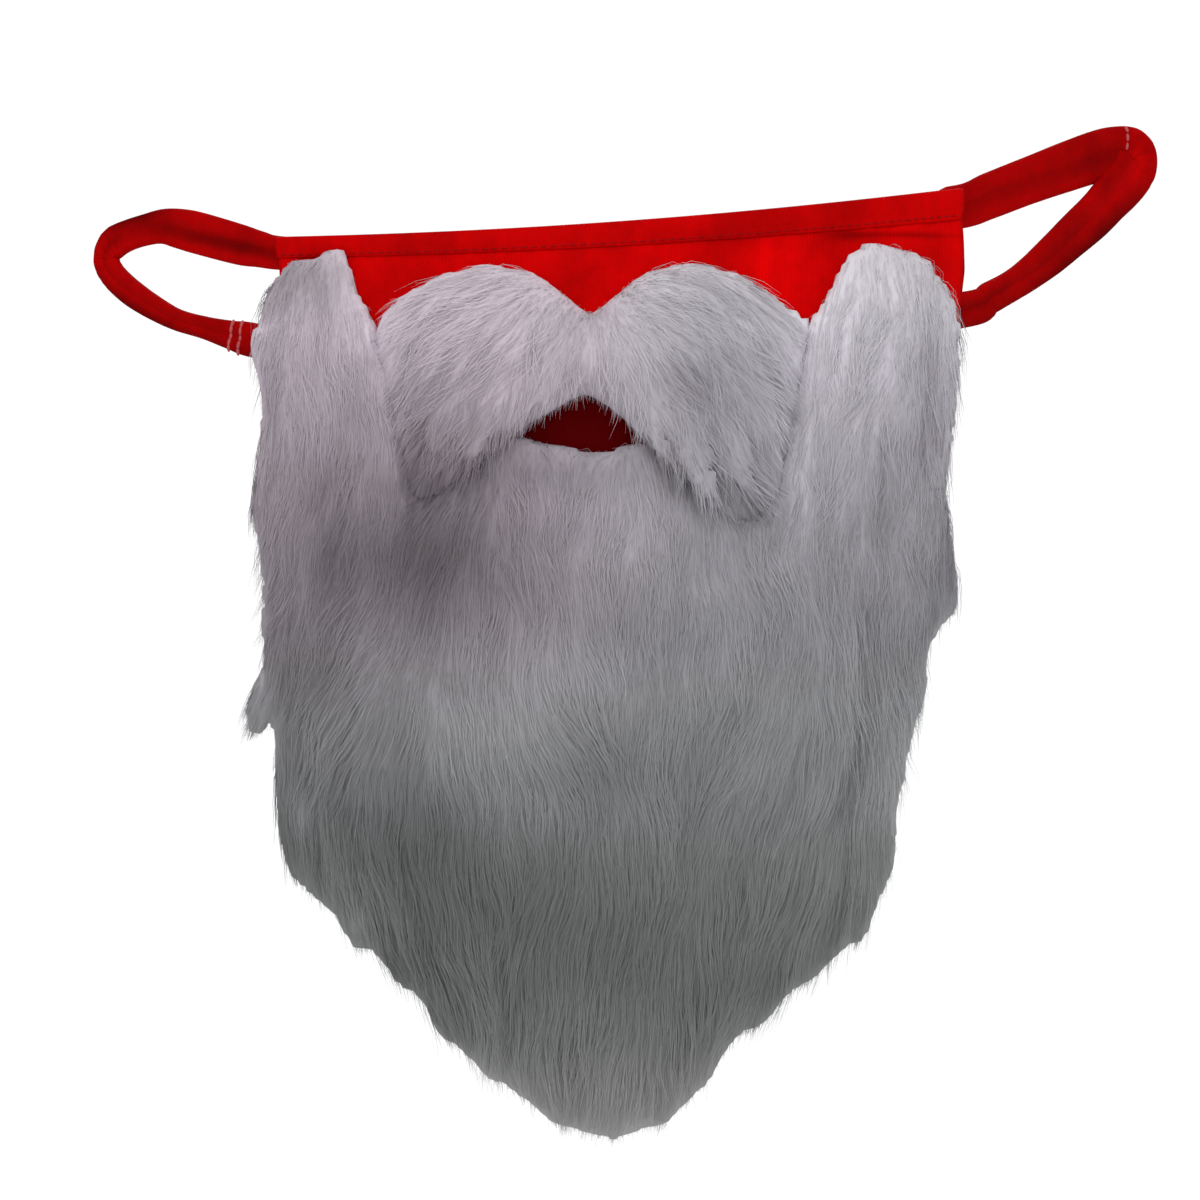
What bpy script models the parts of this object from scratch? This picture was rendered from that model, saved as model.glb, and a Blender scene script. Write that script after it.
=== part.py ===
# A costume beard: a curved cloth panel that covers the lower face, with a faux fur beard
# and moustache sewn to its front, a folded tape along its top edge and a padded strap
# loop for each ear.
# Metres. Looked at from the front, +X is to the right, +Y points back to the wearer's
# face and +Z is up. The origin lies on the panel's inner face, where it sits on the
# bridge of the nose.

import math

import bmesh
import bpy
from mathutils import Vector

# The panel: a wall of cloth wrapped round the face
CLOTH_WALL = 0.0018
SEAM_GAP = 0.00035
FUR_GAP = 0.0006
STRAP_GAP = 0.0008
PANEL_LEFT = 0.107
PANEL_RIGHT = 0.1275
PANEL_DROP = 0.254
HEM_RISE = 0.051
PANEL_COLUMNS = 22
PANEL_ROWS = 13

# The panel's top edge over the nose: its height, its tilt and how far it bows
BROW_RISE = 0.0145
BROW_TILT = 0.068
BROW_BOW = 0.005

# How the cloth wraps the face: tight at the brow, flatter where the beard hangs free
BROW_WRAP = 0.205
TIP_WRAP = 0.33
LEAN_START = 0.03
LEAN_DROP = 0.155
CHIN_FORWARD = 0.014
TIP_RETURN = 0.006

# The folded tape along the top edge
TAPE_LEG = 0.0012
TAPE_LEFT_HEIGHT = 0.0065
TAPE_RIGHT_HEIGHT = 0.01

# The ear loops: a padded strap with a groove down the middle
STRAP_WIDTH = 0.014
STRAP_THICK = 0.004
STRAP_SECTIONS = 40
LEFT_REACH = 0.071
RIGHT_REACH = 0.0725
STRAP_TUCK = 0.0125
LEFT_TOE_ANGLE = math.radians(38)
RIGHT_TOE_ANGLE = math.radians(43)

# The fur, measured from the origin
BEARD_LEFT = 0.116
BEARD_RIGHT = 0.128
BEARD_DROP = 0.297
BEARD_DEPTH = 0.023
BEARD_EDGE = 0.003
MOUSTACHE_DEPTH = 0.019
MOUSTACHE_EDGE = 0.003
LOCK_WIDTH = 0.026
LOCK_THICK = 0.009
LOCK_SIDES = 6

# Half widths of the panel down its length
# down: share of the panel's length; left, right: shares of its half widths
PANEL_SIDES = (
    (0.00, 1.000, 1.000),
    (0.12, 0.985, 1.010),
    (0.30, 0.985, 0.970),
    (0.55, 0.975, 0.900),
    (0.80, 0.920, 0.800),
    (1.00, 0.840, 0.720),
)

# Stations across the beard, from its left side to its right
# root_x, root_down: where the fur starts; tip_x, tip_down: where it ends
# x as shares of BEARD_LEFT or BEARD_RIGHT, down as shares of BEARD_DROP
BEARD_STATIONS = (
    (-0.940, +0.030, -0.905, 0.640),
    (-0.850, -0.004, -0.815, 0.706),
    (-0.725, -0.010, -0.718, 0.744),
    (-0.627, +0.072, -0.640, 0.782),
    (-0.585, +0.141, -0.570, 0.808),
    (-0.547, +0.210, -0.518, 0.842),
    (-0.515, +0.274, -0.453, 0.870),
    (-0.397, +0.251, -0.359, 0.902),
    (-0.312, +0.223, -0.294, 0.922),
    (-0.229, +0.196, -0.229, 0.941),
    (-0.118, +0.208, -0.100, 0.973),
    (+0.000, +0.215, +0.021, 0.987),
    (+0.080, +0.211, +0.101, 0.983),
    (+0.149, +0.204, +0.171, 0.976),
    (+0.267, +0.256, +0.251, 0.955),
    (+0.387, +0.295, +0.315, 0.927),
    (+0.493, +0.275, +0.405, 0.888),
    (+0.520, +0.210, +0.485, 0.849),
    (+0.549, +0.141, +0.560, 0.812),
    (+0.581, +0.072, +0.629, 0.777),
    (+0.683, -0.009, +0.699, 0.745),
    (+0.779, -0.025, +0.752, 0.708),
    (+0.893, -0.014, +0.786, 0.669),
    (+0.975, +0.045, +0.800, 0.618),
)

# Rows down the beard
# down: share of the way from root to tip; left, right: how far the side edges swell, as
# shares of the half widths; depth: share of BEARD_DEPTH
BEARD_ROWS = (
    (0.00, 0.000, 0.000, 0.16),
    (0.07, 0.008, 0.012, 0.48),
    (0.17, 0.020, 0.026, 0.72),
    (0.27, 0.040, 0.024, 0.86),
    (0.36, 0.054, 0.020, 0.95),
    (0.46, 0.032, 0.032, 1.00),
    (0.57, 0.026, 0.074, 0.98),
    (0.64, 0.030, 0.050, 0.92),
    (0.70, 0.030, 0.022, 0.86),
    (0.76, 0.018, 0.050, 0.80),
    (0.84, 0.004, 0.020, 0.70),
    (0.93, 0.000, 0.000, 0.48),
    (1.00, 0.000, 0.000, 0.16),
)

# Stations across the moustache, from its left end to its right, as for the beard
MOUSTACHE_STATIONS = (
    (-0.615, +0.065, -0.500, 0.265),
    (-0.547, +0.035, -0.412, 0.247),
    (-0.441, +0.011, -0.324, 0.217),
    (-0.306, -0.002, -0.229, 0.186),
    (-0.176, +0.007, -0.132, 0.164),
    (-0.082, +0.031, -0.068, 0.150),
    (+0.000, +0.047, -0.013, 0.140),
    (+0.069, +0.033, +0.043, 0.153),
    (+0.155, +0.007, +0.101, 0.174),
    (+0.267, -0.005, +0.165, 0.201),
    (+0.389, +0.008, +0.267, 0.248),
    (+0.491, +0.036, +0.379, 0.286),
    (+0.565, +0.065, +0.480, 0.265),
)

# Rows down the moustache: share of the way from root to tip, and of MOUSTACHE_DEPTH
MOUSTACHE_ROWS = (
    (0.00, 0.18),
    (0.10, 0.52),
    (0.28, 0.82),
    (0.50, 1.00),
    (0.72, 0.92),
    (0.90, 0.60),
    (1.00, 0.22),
)

# Tiers of locks that cover the beard, from the top down
# root, tip: shares of the way down the fur; first, last: shares of the way across it;
# count: locks in the tier; width: share of LOCK_WIDTH
BEARD_TIERS = (
    (0.05, 0.34, 0.052, 0.122, 2, 0.80),
    (0.05, 0.36, 0.855, 0.940, 2, 0.85),
    (0.08, 0.34, 0.340, 0.640, 5, 0.95),
    (0.26, 0.56, 0.070, 0.930, 8, 1.30),
    (0.45, 0.75, 0.090, 0.910, 9, 1.30),
    (0.62, 0.91, 0.110, 0.890, 8, 1.30),
)

# Locks whose tips make the beard's edge, named by where they end
# root and tip: shares across and down the fur; width: share of LOCK_WIDTH
EDGE_LOCKS = (
    ("left flick", 0.020, 0.66, -0.060, 0.985, 0.36),
    ("left cheek", 0.035, 0.18, 0.006, 0.500, 0.60),
    ("left corner", 0.050, 0.74, 0.032, 1.020, 0.55),
    ("left notch", 0.120, 0.78, 0.112, 1.026, 0.70),
    ("left lower", 0.200, 0.80, 0.196, 1.018, 0.70),
    ("left slope", 0.280, 0.80, 0.276, 1.016, 0.70),
    ("left under", 0.360, 0.80, 0.360, 1.010, 0.75),
    ("point left", 0.440, 0.80, 0.440, 1.012, 0.80),
    ("point", 0.500, 0.80, 0.504, 1.012, 0.80),
    ("point right", 0.565, 0.80, 0.572, 1.012, 0.75),
    ("right under", 0.640, 0.80, 0.640, 1.012, 0.70),
    ("right slope", 0.710, 0.80, 0.712, 1.018, 0.70),
    ("right lower", 0.780, 0.80, 0.782, 1.018, 0.65),
    ("right notch", 0.850, 0.78, 0.855, 1.020, 0.60),
    ("right corner", 0.925, 0.76, 0.940, 1.020, 0.55),
    ("right side", 0.960, 0.62, 0.990, 0.930, 0.50),
    ("right cheek", 0.955, 0.30, 0.992, 0.640, 0.60),
)

# Locks combed out from the middle of the moustache, mirrored for the other wing
# root and tip: shares of a wing from the middle outwards, and shares down it; width:
# share of LOCK_WIDTH; stand: how far the tip stands off the cloth, as a share of
# MOUSTACHE_DEPTH
MOUSTACHE_LOCKS = (
    (0.08, 0.30, 0.34, 1.00, 0.42, 0.55),
    (0.12, 0.16, 0.56, 1.05, 0.50, 0.80),
    (0.22, 0.10, 0.75, 1.06, 0.52, 0.85),
    (0.42, 0.08, 0.87, 0.92, 0.50, 0.70),
    (0.66, 0.08, 0.89, 0.62, 0.42, 0.50),
)

# The strap's way round each loop, from where it is tucked behind the top corner to
# where it is tucked behind the side, as few points chosen by hand
# out: share of the loop's reach beyond the panel's edge, or of STRAP_TUCK where it is
# tucked behind; down: share of BEARD_DROP below the origin; width, thick: shares of the
# strap's own
LEFT_LOOP = (
    (-0.80, -0.010, 0.86, 1.00),
    (-0.22, -0.016, 0.92, 1.00),
    (+0.09, -0.023, 0.97, 1.00),
    (+0.24, -0.032, 1.03, 1.00),
    (+0.40, -0.042, 1.06, 1.00),
    (+0.54, -0.050, 0.98, 1.00),
    (+0.69, -0.050, 0.90, 1.05),
    (+0.82, -0.043, 0.86, 1.15),
    (+0.90, -0.030, 0.82, 1.20),
    (+0.92, -0.012, 0.80, 1.20),
    (+0.88, +0.008, 0.76, 1.15),
    (+0.79, +0.027, 0.70, 1.05),
    (+0.67, +0.044, 0.65, 1.00),
    (+0.54, +0.057, 0.62, 1.00),
    (+0.40, +0.067, 0.64, 1.00),
    (+0.26, +0.075, 0.72, 1.00),
    (+0.10, +0.085, 0.78, 1.00),
    (-0.23, +0.094, 0.78, 1.00),
)
RIGHT_LOOP = (
    (-0.79, -0.062, 0.98, 1.00),
    (-0.28, -0.068, 1.03, 1.00),
    (+0.05, -0.076, 1.08, 1.00),
    (+0.23, -0.091, 1.12, 1.00),
    (+0.44, -0.111, 1.12, 1.00),
    (+0.65, -0.128, 1.12, 1.00),
    (+0.78, -0.137, 1.08, 1.05),
    (+0.88, -0.141, 1.02, 1.15),
    (+0.96, -0.134, 1.00, 1.20),
    (+0.98, -0.119, 1.06, 1.15),
    (+0.94, -0.101, 1.06, 1.10),
    (+0.86, -0.080, 1.04, 1.00),
    (+0.74, -0.053, 1.06, 1.00),
    (+0.60, -0.027, 1.02, 1.00),
    (+0.46, -0.001, 0.94, 1.00),
    (+0.32, +0.021, 0.86, 1.00),
    (+0.17, +0.038, 0.80, 1.00),
    (+0.03, +0.053, 0.78, 1.00),
    (-0.62, +0.069, 0.80, 1.00),
)

# Half of the strap's section, from its edge over the groove: shares of half its width
# and half its thickness
STRAP_SECTION = (
    (1.00, 0.30),
    (0.62, 1.00),
    (0.00, 0.66),
    (-0.62, 1.00),
    (-1.00, 0.30),
)

# A lock from root to tip
# along: share of its length; width: share of its full width and thickness; lift: how far
# its front stands above the fur, as a share of LOCK_THICK
LOCK_SHAPE = (
    (0.00, 0.55, -0.25),
    (0.22, 0.86, 0.08),
    (0.46, 1.00, 0.26),
    (0.68, 0.88, 0.34),
    (0.86, 0.56, 0.30),
    (1.00, 0.08, 0.12),
)

CLOTH_RED = (0.48, 0.004, 0.004)
TAPE_RED = (0.42, 0.004, 0.004)
STRAP_RED = (0.36, 0.003, 0.004)
FUR_GREY = (0.34, 0.33, 0.34)
MOUSTACHE_GREY = (0.46, 0.44, 0.46)


# Small helpers

def between(a, b, share):
    return a + (b - a) * share


def clamped(value):
    return min(1.0, max(0.0, value))


def read_table(rows, at, column):
    # Straight-line reading of one column of a table whose first column rises
    for low, high in zip(rows, rows[1:]):
        if at <= high[0]:
            share = (at - low[0]) / (high[0] - low[0])
            return between(low[column], high[column], max(0.0, share))
    return rows[-1][column]


def fabric(name, colour, roughness):
    material = bpy.data.materials.new(name)
    material.use_nodes = True
    shader = material.node_tree.nodes["Principled BSDF"]
    shader.inputs["Base Color"].default_value = (*colour, 1.0)
    shader.inputs["Roughness"].default_value = roughness
    shader.inputs["Metallic"].default_value = 0.0
    return material


def object_from(name, points, faces, material, helper=False):
    # A closed mesh with its faces turned out and its round parts shaded smooth
    mesh = bpy.data.meshes.new(name)
    mesh.from_pydata(points, [], faces)
    shape = bmesh.new()
    shape.from_mesh(mesh)
    bmesh.ops.recalc_face_normals(shape, faces=shape.faces)
    shape.to_mesh(mesh)
    shape.free()
    mesh.materials.append(material)
    mesh.shade_smooth()
    mesh.set_sharp_from_angle(angle=math.radians(45))
    made = bpy.data.objects.new(name, mesh)
    bpy.context.scene.collection.objects.link(made)
    made.hide_render = helper
    if helper:
        made.display_type = "WIRE"
    return made


def walled(front, back):
    # Points and faces of a closed wall between two grids of the same rows and columns
    rows, columns = len(front), len(front[0])
    points = [p for row in front for p in row] + [p for row in back for p in row]
    behind = rows * columns
    faces = []
    for r in range(rows - 1):
        for c in range(columns - 1):
            a, b = r * columns + c, r * columns + c + 1
            d, e = a + columns, b + columns
            faces.append((a, b, e, d))
            faces.append((behind + a, behind + d, behind + e, behind + b))
    rim = [(0, c) for c in range(columns - 1)]
    rim += [(r, columns - 1) for r in range(rows - 1)]
    rim += [(rows - 1, c) for c in range(columns - 1, 0, -1)]
    rim += [(r, 0) for r in range(rows - 1, 0, -1)]
    for (r, c), (s, d) in zip(rim, rim[1:] + rim[:1]):
        a, b = r * columns + c, s * columns + d
        faces.append((a, behind + a, behind + b, b))
    return points, faces


def swept(rings):
    # Points and faces of a closed tube through rings that have the same number of points
    sides = len(rings[0])
    points = [p for ring in rings for p in ring]
    faces = [tuple(range(sides)), tuple(range(len(points) - sides, len(points)))]
    for r in range(len(rings) - 1):
        for s in range(sides):
            a, b = r * sides + s, r * sides + (s + 1) % sides
            faces.append((a, b, b + sides, a + sides))
    return points, faces


def smooth_path(rows, count):
    # Even readings of a smooth curve through every row of a table
    ends = [rows[0], *rows, rows[-1]]
    read = []
    for i in range(count):
        at = i / (count - 1) * (len(rows) - 1)
        k = min(int(at), len(rows) - 2)
        t = at - k
        p, q, r, s = ends[k : k + 4]
        read.append(tuple(
            0.5 * (2 * b + (c - a) * t + (2 * a - 5 * b + 4 * c - d) * t * t
                   + (3 * b - a - 3 * c + d) * t ** 3)
            for a, b, c, d in zip(p, q, r, s)
        ))
    return read


# The face that the cloth wraps

def face_depth(x, z):
    # How far back the panel's inner face lies: nothing at the origin
    wrap = between(BROW_WRAP, TIP_WRAP, -z / BEARD_DROP)
    return wrap - math.sqrt(wrap * wrap - x * x) - chin_lean(z) + chin_lean(0.0)


def chin_lean(z):
    # How far the face comes forward from brow to chin, less what the hanging tip eases back
    to_chin = clamped((LEAN_START - z) / LEAN_DROP)
    below_chin = clamped((LEAN_START - LEAN_DROP - z) / (BEARD_DROP - LEAN_DROP))
    return CHIN_FORWARD * (1 - math.cos(math.pi * to_chin)) / 2 - TIP_RETURN * below_chin ** 2


def face_normal(x, z):
    # Straight out of the front of the cloth
    step = CLOTH_WALL
    slope_x = (face_depth(x + step, z) - face_depth(x - step, z)) / (2 * step)
    slope_z = (face_depth(x, z + step) - face_depth(x, z - step)) / (2 * step)
    return Vector((slope_x, -1.0, slope_z)).normalized()


def face_point(x, z, height):
    # A point that stands off the inner face by a height, forwards if it is positive
    return Vector((x, face_depth(x, z), z)) + face_normal(x, z) * height


def brow_height(x):
    return BROW_RISE + BROW_TILT * x + BROW_BOW * (x / PANEL_RIGHT) ** 2


def panel_side(side, down):
    # The panel's half width on one side, -1 for left and +1 for right
    if side < 0:
        return PANEL_LEFT * read_table(PANEL_SIDES, down, 1)
    return PANEL_RIGHT * read_table(PANEL_SIDES, down, 2)


# The cloth panel

def panel_place(across, down):
    # x and z on the panel; across runs from -1 to 1 and down from 0 to 1
    x = across * panel_side(across, down)
    hem = HEM_RISE * abs(across) ** 2.2 - PANEL_DROP
    return x, between(brow_height(x), hem, down)


def make_panel(material):
    front, back = [], []
    for r in range(PANEL_ROWS):
        places = [
            panel_place(2 * c / (PANEL_COLUMNS - 1) - 1, r / (PANEL_ROWS - 1))
            for c in range(PANEL_COLUMNS)
        ]
        front.append([face_point(x, z, CLOTH_WALL) for x, z in places])
        back.append([face_point(x, z, 0.0) for x, z in places])
    return object_from("face_panel", *walled(front, back), material)


# The tape folded over the panel's top edge

def make_tape(material):
    front = CLOTH_WALL + SEAM_GAP
    rings = []
    for c in range(PANEL_COLUMNS):
        share = c / (PANEL_COLUMNS - 1)
        x, top = panel_place(2 * share - 1, 0.0)
        low = top - between(TAPE_LEFT_HEIGHT, TAPE_RIGHT_HEIGHT, share ** 2)
        fold = top + SEAM_GAP
        crown = fold + TAPE_LEG
        rings.append([
            face_point(x, low, front),
            face_point(x, low, front + TAPE_LEG),
            face_point(x, fold, front + TAPE_LEG),
            face_point(x, crown, front),
            face_point(x, crown, -SEAM_GAP),
            face_point(x, fold, -SEAM_GAP - TAPE_LEG),
            face_point(x, low, -SEAM_GAP - TAPE_LEG),
            face_point(x, low, -SEAM_GAP),
            face_point(x, fold, -SEAM_GAP),
            face_point(x, fold, front),
        ])
    return object_from("top_tape", *swept(rings), material)


# The ear loops

def loop_place(side, out, down, behind):
    # A point of the strap's middle line: behind the cloth where it is tucked under, and
    # beyond the panel's edge on a plane that toes back towards the ear
    reach, toe = (LEFT_REACH, LEFT_TOE_ANGLE) if side < 0 else (RIGHT_REACH, RIGHT_TOE_ANGLE)
    tucked, beyond = min(out, 0.0) * STRAP_TUCK, max(out, 0.0) * reach
    edge = panel_side(side, 0.0)
    place = face_point(side * (edge + tucked), -down * BEARD_DROP, -behind)
    return place + Vector((side * beyond, beyond * math.tan(toe), 0.0))


def loop_normal(side, place):
    toe = LEFT_TOE_ANGLE if side < 0 else RIGHT_TOE_ANGLE
    flat = Vector((side * math.sin(toe), -math.cos(toe), 0.0))
    edge = panel_side(side, 0.0)
    inside = clamped((edge - abs(place.x)) / STRAP_WIDTH)
    return flat.lerp(face_normal(side * min(abs(place.x), edge), place.z), inside).normalized()


def make_loop(name, side, table, material):
    under_tape = SEAM_GAP + TAPE_LEG + STRAP_GAP + STRAP_THICK / 2
    under_cloth = STRAP_GAP + STRAP_THICK / 2
    path = smooth_path(table, STRAP_SECTIONS)
    middle = []
    for i, (out, down, _, _) in enumerate(path):
        behind = between(under_tape, under_cloth, i / (STRAP_SECTIONS - 1))
        middle.append(loop_place(side, out, down, behind))
    rings = []
    for i, place in enumerate(middle):
        along = (middle[min(i + 1, len(middle) - 1)] - middle[max(i - 1, 0)]).normalized()
        normal = loop_normal(side, place)
        across = along.cross(normal).normalized()
        normal = across.cross(along)
        wide = STRAP_WIDTH / 2 * path[i][2]
        thick = STRAP_THICK / 2 * path[i][3]
        face = [place + across * (wide * w) + normal * (thick * t) for w, t in STRAP_SECTION]
        rear = [place + across * (wide * w) - normal * (thick * t) for w, t in STRAP_SECTION]
        rings.append(face + rear[::-1])
    return object_from(name, *swept(rings), material)


# The fur

class Fur:
    # A pad of fur on the front of the cloth: stations across it, from root to tip, and
    # rows down it

    def __init__(self, stations, rows, depth, edge, depth_column, swells):
        self.stations = stations
        self.rows = rows
        self.depth = depth
        self.edge = edge
        self.depth_column = depth_column
        self.swells = swells

    def station(self, across):
        # A station between two of the table's, run on past its ends
        at = across * (len(self.stations) - 1)
        k = min(max(int(at), 0), len(self.stations) - 2)
        low, high = self.stations[k], self.stations[k + 1]
        return [between(a, b, at - k) for a, b in zip(low, high)]

    def place(self, across, down):
        # x and z of a point of the fur
        root_x, root_down, tip_x, tip_down = self.station(across)
        share = between(root_x, tip_x, down)
        if self.swells:
            at_left = clamped(1 - across * (len(self.stations) - 1) / 2.2)
            at_right = clamped(1 - (1 - across) * (len(self.stations) - 1) / 2.2)
            share -= read_table(self.rows, down, 1) * at_left
            share += read_table(self.rows, down, 2) * at_right
        x = share * (BEARD_LEFT if share < 0 else BEARD_RIGHT)
        return x, -between(root_down, tip_down, down) * BEARD_DROP

    def height(self, across, down):
        # How deep the fur is there; it thins to its edge on every side
        bulge = math.sin(math.pi * clamped(across)) ** 0.55
        share = read_table(self.rows, clamped(down), self.depth_column) * bulge
        return max(self.edge, self.depth * share)

    def point(self, across, down, height):
        x, z = self.place(across, down)
        return face_point(x, z, CLOTH_WALL + FUR_GAP + height)

    def pad(self, name, material):
        columns = [c / (len(self.stations) - 1) for c in range(len(self.stations))]
        downs = [row[0] for row in self.rows]
        front = [[self.point(a, d, self.height(a, d)) for a in columns] for d in downs]
        back = [[self.point(a, d, 0.0) for a in columns] for d in downs]
        return object_from(name, *walled(front, back), material)

    def lock(self, name, root, tip, width, material, sway=0.0, stand=0.0):
        # A flattened tapering lock from root to tip, both (across, down). It starts
        # inside the fur, rises above it, sways to a side and comes to a point; stand is
        # how far its tip stands off the cloth
        rings = []
        for t, wide_share, lift in LOCK_SHAPE:
            across = between(root[0], tip[0], t) + sway * math.sin(math.pi * t)
            down = between(root[1], tip[1], t)
            wide = LOCK_WIDTH / 2 * width * wide_share
            thick = LOCK_THICK / 2 * wide_share
            risen = self.height(across, down) + lift * LOCK_THICK - thick
            middle = max(thick + FUR_GAP, risen, stand * t)
            here = self.point(across, down, middle)
            ahead = self.point(
                across + (tip[0] - root[0]) * 0.05, down + (tip[1] - root[1]) * 0.05, middle
            )
            normal = face_normal(*self.place(across, down))
            along = (ahead - here).normalized()
            side = along.cross(normal).normalized()
            turns = [2 * math.pi * (s + 0.5) / LOCK_SIDES for s in range(LOCK_SIDES)]
            rings.append([
                here + side * (wide * math.cos(turn)) + normal * (thick * math.sin(turn))
                for turn in turns
            ])
        return object_from(name, *swept(rings), material, helper=True)


def fuse(body, locks):
    # Joins the locks to the body they grow from, as one solid
    group = bpy.data.collections.new(body.name + "_locks")
    for lock in locks:
        group.objects.link(lock)
    union = body.modifiers.new("fused_locks", "BOOLEAN")
    union.operation = "UNION"
    union.operand_type = "COLLECTION"
    union.collection = group
    union.solver = "EXACT"
    union.use_self = True


def make_beard(material):
    fur = Fur(BEARD_STATIONS, BEARD_ROWS, BEARD_DEPTH, BEARD_EDGE, 3, swells=True)
    body = fur.pad("beard_fur", material)
    locks = []
    for tier, (root, tip, first, last, count, width) in enumerate(BEARD_TIERS):
        for i in range(count):
            across = between(first, last, i / (count - 1))
            stagger = 0.022 * math.sin(2.4 * i + 1.7 * tier)
            locks.append(fur.lock(
                f"tier_{tier}_lock_{i}",
                (across, root + stagger), (across + 0.5 * stagger, tip + stagger),
                width, material, sway=0.01 * math.cos(2.1 * i + tier),
            ))
    for name, root_across, root_down, tip_across, tip_down, width in EDGE_LOCKS:
        locks.append(fur.lock(
            name.replace(" ", "_"), (root_across, root_down), (tip_across, tip_down),
            width, material,
        ))
    fuse(body, locks)
    return body


def make_moustache(material):
    fur = Fur(MOUSTACHE_STATIONS, MOUSTACHE_ROWS, MOUSTACHE_DEPTH, MOUSTACHE_EDGE, 1, swells=False)
    body = fur.pad("moustache_fur", material)
    locks = []
    for side, wing in ((-1, "left"), (1, "right")):
        for i, (root_out, root_down, tip_out, tip_down, width, stand) in enumerate(MOUSTACHE_LOCKS):
            locks.append(fur.lock(
                f"{wing}_wing_lock_{i}",
                (0.5 + side * root_out / 2, root_down), (0.5 + side * tip_out / 2, tip_down),
                width, material, sway=-0.02 * side, stand=stand * MOUSTACHE_DEPTH,
            ))
    fuse(body, locks)
    return body


def main():
    for old in list(bpy.data.objects):
        bpy.data.objects.remove(old)
    make_panel(fabric("red cloth", CLOTH_RED, 0.85))
    make_tape(fabric("red tape", TAPE_RED, 0.8))
    strap = fabric("red strap", STRAP_RED, 0.8)
    make_loop("ear_loop_left", -1, LEFT_LOOP, strap)
    make_loop("ear_loop_right", 1, RIGHT_LOOP, strap)
    make_beard(fabric("grey fur", FUR_GREY, 0.9))
    make_moustache(fabric("pale fur", MOUSTACHE_GREY, 0.9))


main()
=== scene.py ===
import math

import bmesh
import bpy
import numpy as np
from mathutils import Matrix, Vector


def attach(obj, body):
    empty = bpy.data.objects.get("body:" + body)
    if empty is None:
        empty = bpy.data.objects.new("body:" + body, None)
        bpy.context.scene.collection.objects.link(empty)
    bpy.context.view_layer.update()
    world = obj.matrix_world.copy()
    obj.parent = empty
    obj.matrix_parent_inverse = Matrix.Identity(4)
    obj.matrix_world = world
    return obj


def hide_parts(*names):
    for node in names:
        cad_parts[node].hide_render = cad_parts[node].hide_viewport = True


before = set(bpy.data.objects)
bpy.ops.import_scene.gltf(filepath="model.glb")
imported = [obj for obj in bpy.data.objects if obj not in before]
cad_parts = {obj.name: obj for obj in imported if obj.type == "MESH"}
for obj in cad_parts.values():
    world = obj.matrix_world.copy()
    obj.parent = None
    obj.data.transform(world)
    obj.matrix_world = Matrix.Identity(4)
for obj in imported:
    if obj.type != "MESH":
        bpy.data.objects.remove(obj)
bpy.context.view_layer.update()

# Metres throughout: +X to the viewer's right, +Y back to the wearer, +Z up,
# and the origin on the cloth's inner face at the bridge of the nose.

camera = {
    "distance": 4.0,              # a long lens, since the photo shows little perspective
    "pictureWidth": 0.4116,       # across the frame at the origin's depth
    "middleX": 0.0034,
    "middleZ": -0.1132,
    "sensor": 36.0,               # in millimetres
    "clipStart": 0.05,
}


class Signal:
    # a socket's value, so that node maths reads as plain expressions
    def __init__(self, graph, socket):
        self.graph = graph
        self.socket = socket

    def of(self, name):
        return Signal(self.graph, pickSocket(self.socket.node.outputs, name))

    def part(self, axis):
        return self.graph.add("ShaderNodeSeparateXYZ", {"Vector": self}, axis)

    def sums(self, operation, *others):
        return self.graph.maths(operation, self, *others)

    def __add__(self, other): return self.sums("ADD", other)
    def __radd__(self, other): return self.sums("ADD", other)
    def __mul__(self, other): return self.sums("MULTIPLY", other)
    def __rmul__(self, other): return self.sums("MULTIPLY", other)
    def __sub__(self, other): return self.sums("SUBTRACT", other)
    def __rsub__(self, other): return self.graph.maths("SUBTRACT", other, self)
    def __truediv__(self, other): return self.sums("DIVIDE", other)
    def __rtruediv__(self, other): return self.graph.maths("DIVIDE", other, self)
    def __pow__(self, other): return self.sums("POWER", other)

    def vectors(self, operation, other=None, scale=None):
        values = {0: self}
        if other is not None:
            values[1] = other
        if scale is not None:
            values["Scale"] = scale
        output = "Value" if operation == "DOT_PRODUCT" else "Vector"
        return self.graph.add("ShaderNodeVectorMath", values, output, operation=operation)

    def plus(self, other): return self.vectors("ADD", other)
    def less(self, other): return self.vectors("SUBTRACT", other)
    def scaled(self, share): return self.vectors("SCALE", scale=share)
    def dot(self, other): return self.vectors("DOT_PRODUCT", other)
    def cross(self, other): return self.vectors("CROSS_PRODUCT", other)
    def unit(self): return self.vectors("NORMALIZE")

    def ramp(self, low, high, toLow=0.0, toHigh=1.0):
        return self.graph.add("ShaderNodeMapRange", {
            "Value": self, "From Min": low, "From Max": high, "To Min": toLow, "To Max": toHigh,
        }, "Result", interpolation_type="SMOOTHSTEP")


def pickSocket(sockets, name):
    if isinstance(name, int):
        return sockets[name]
    return next(s for s in sockets if s.name == name and s.enabled)


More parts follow.
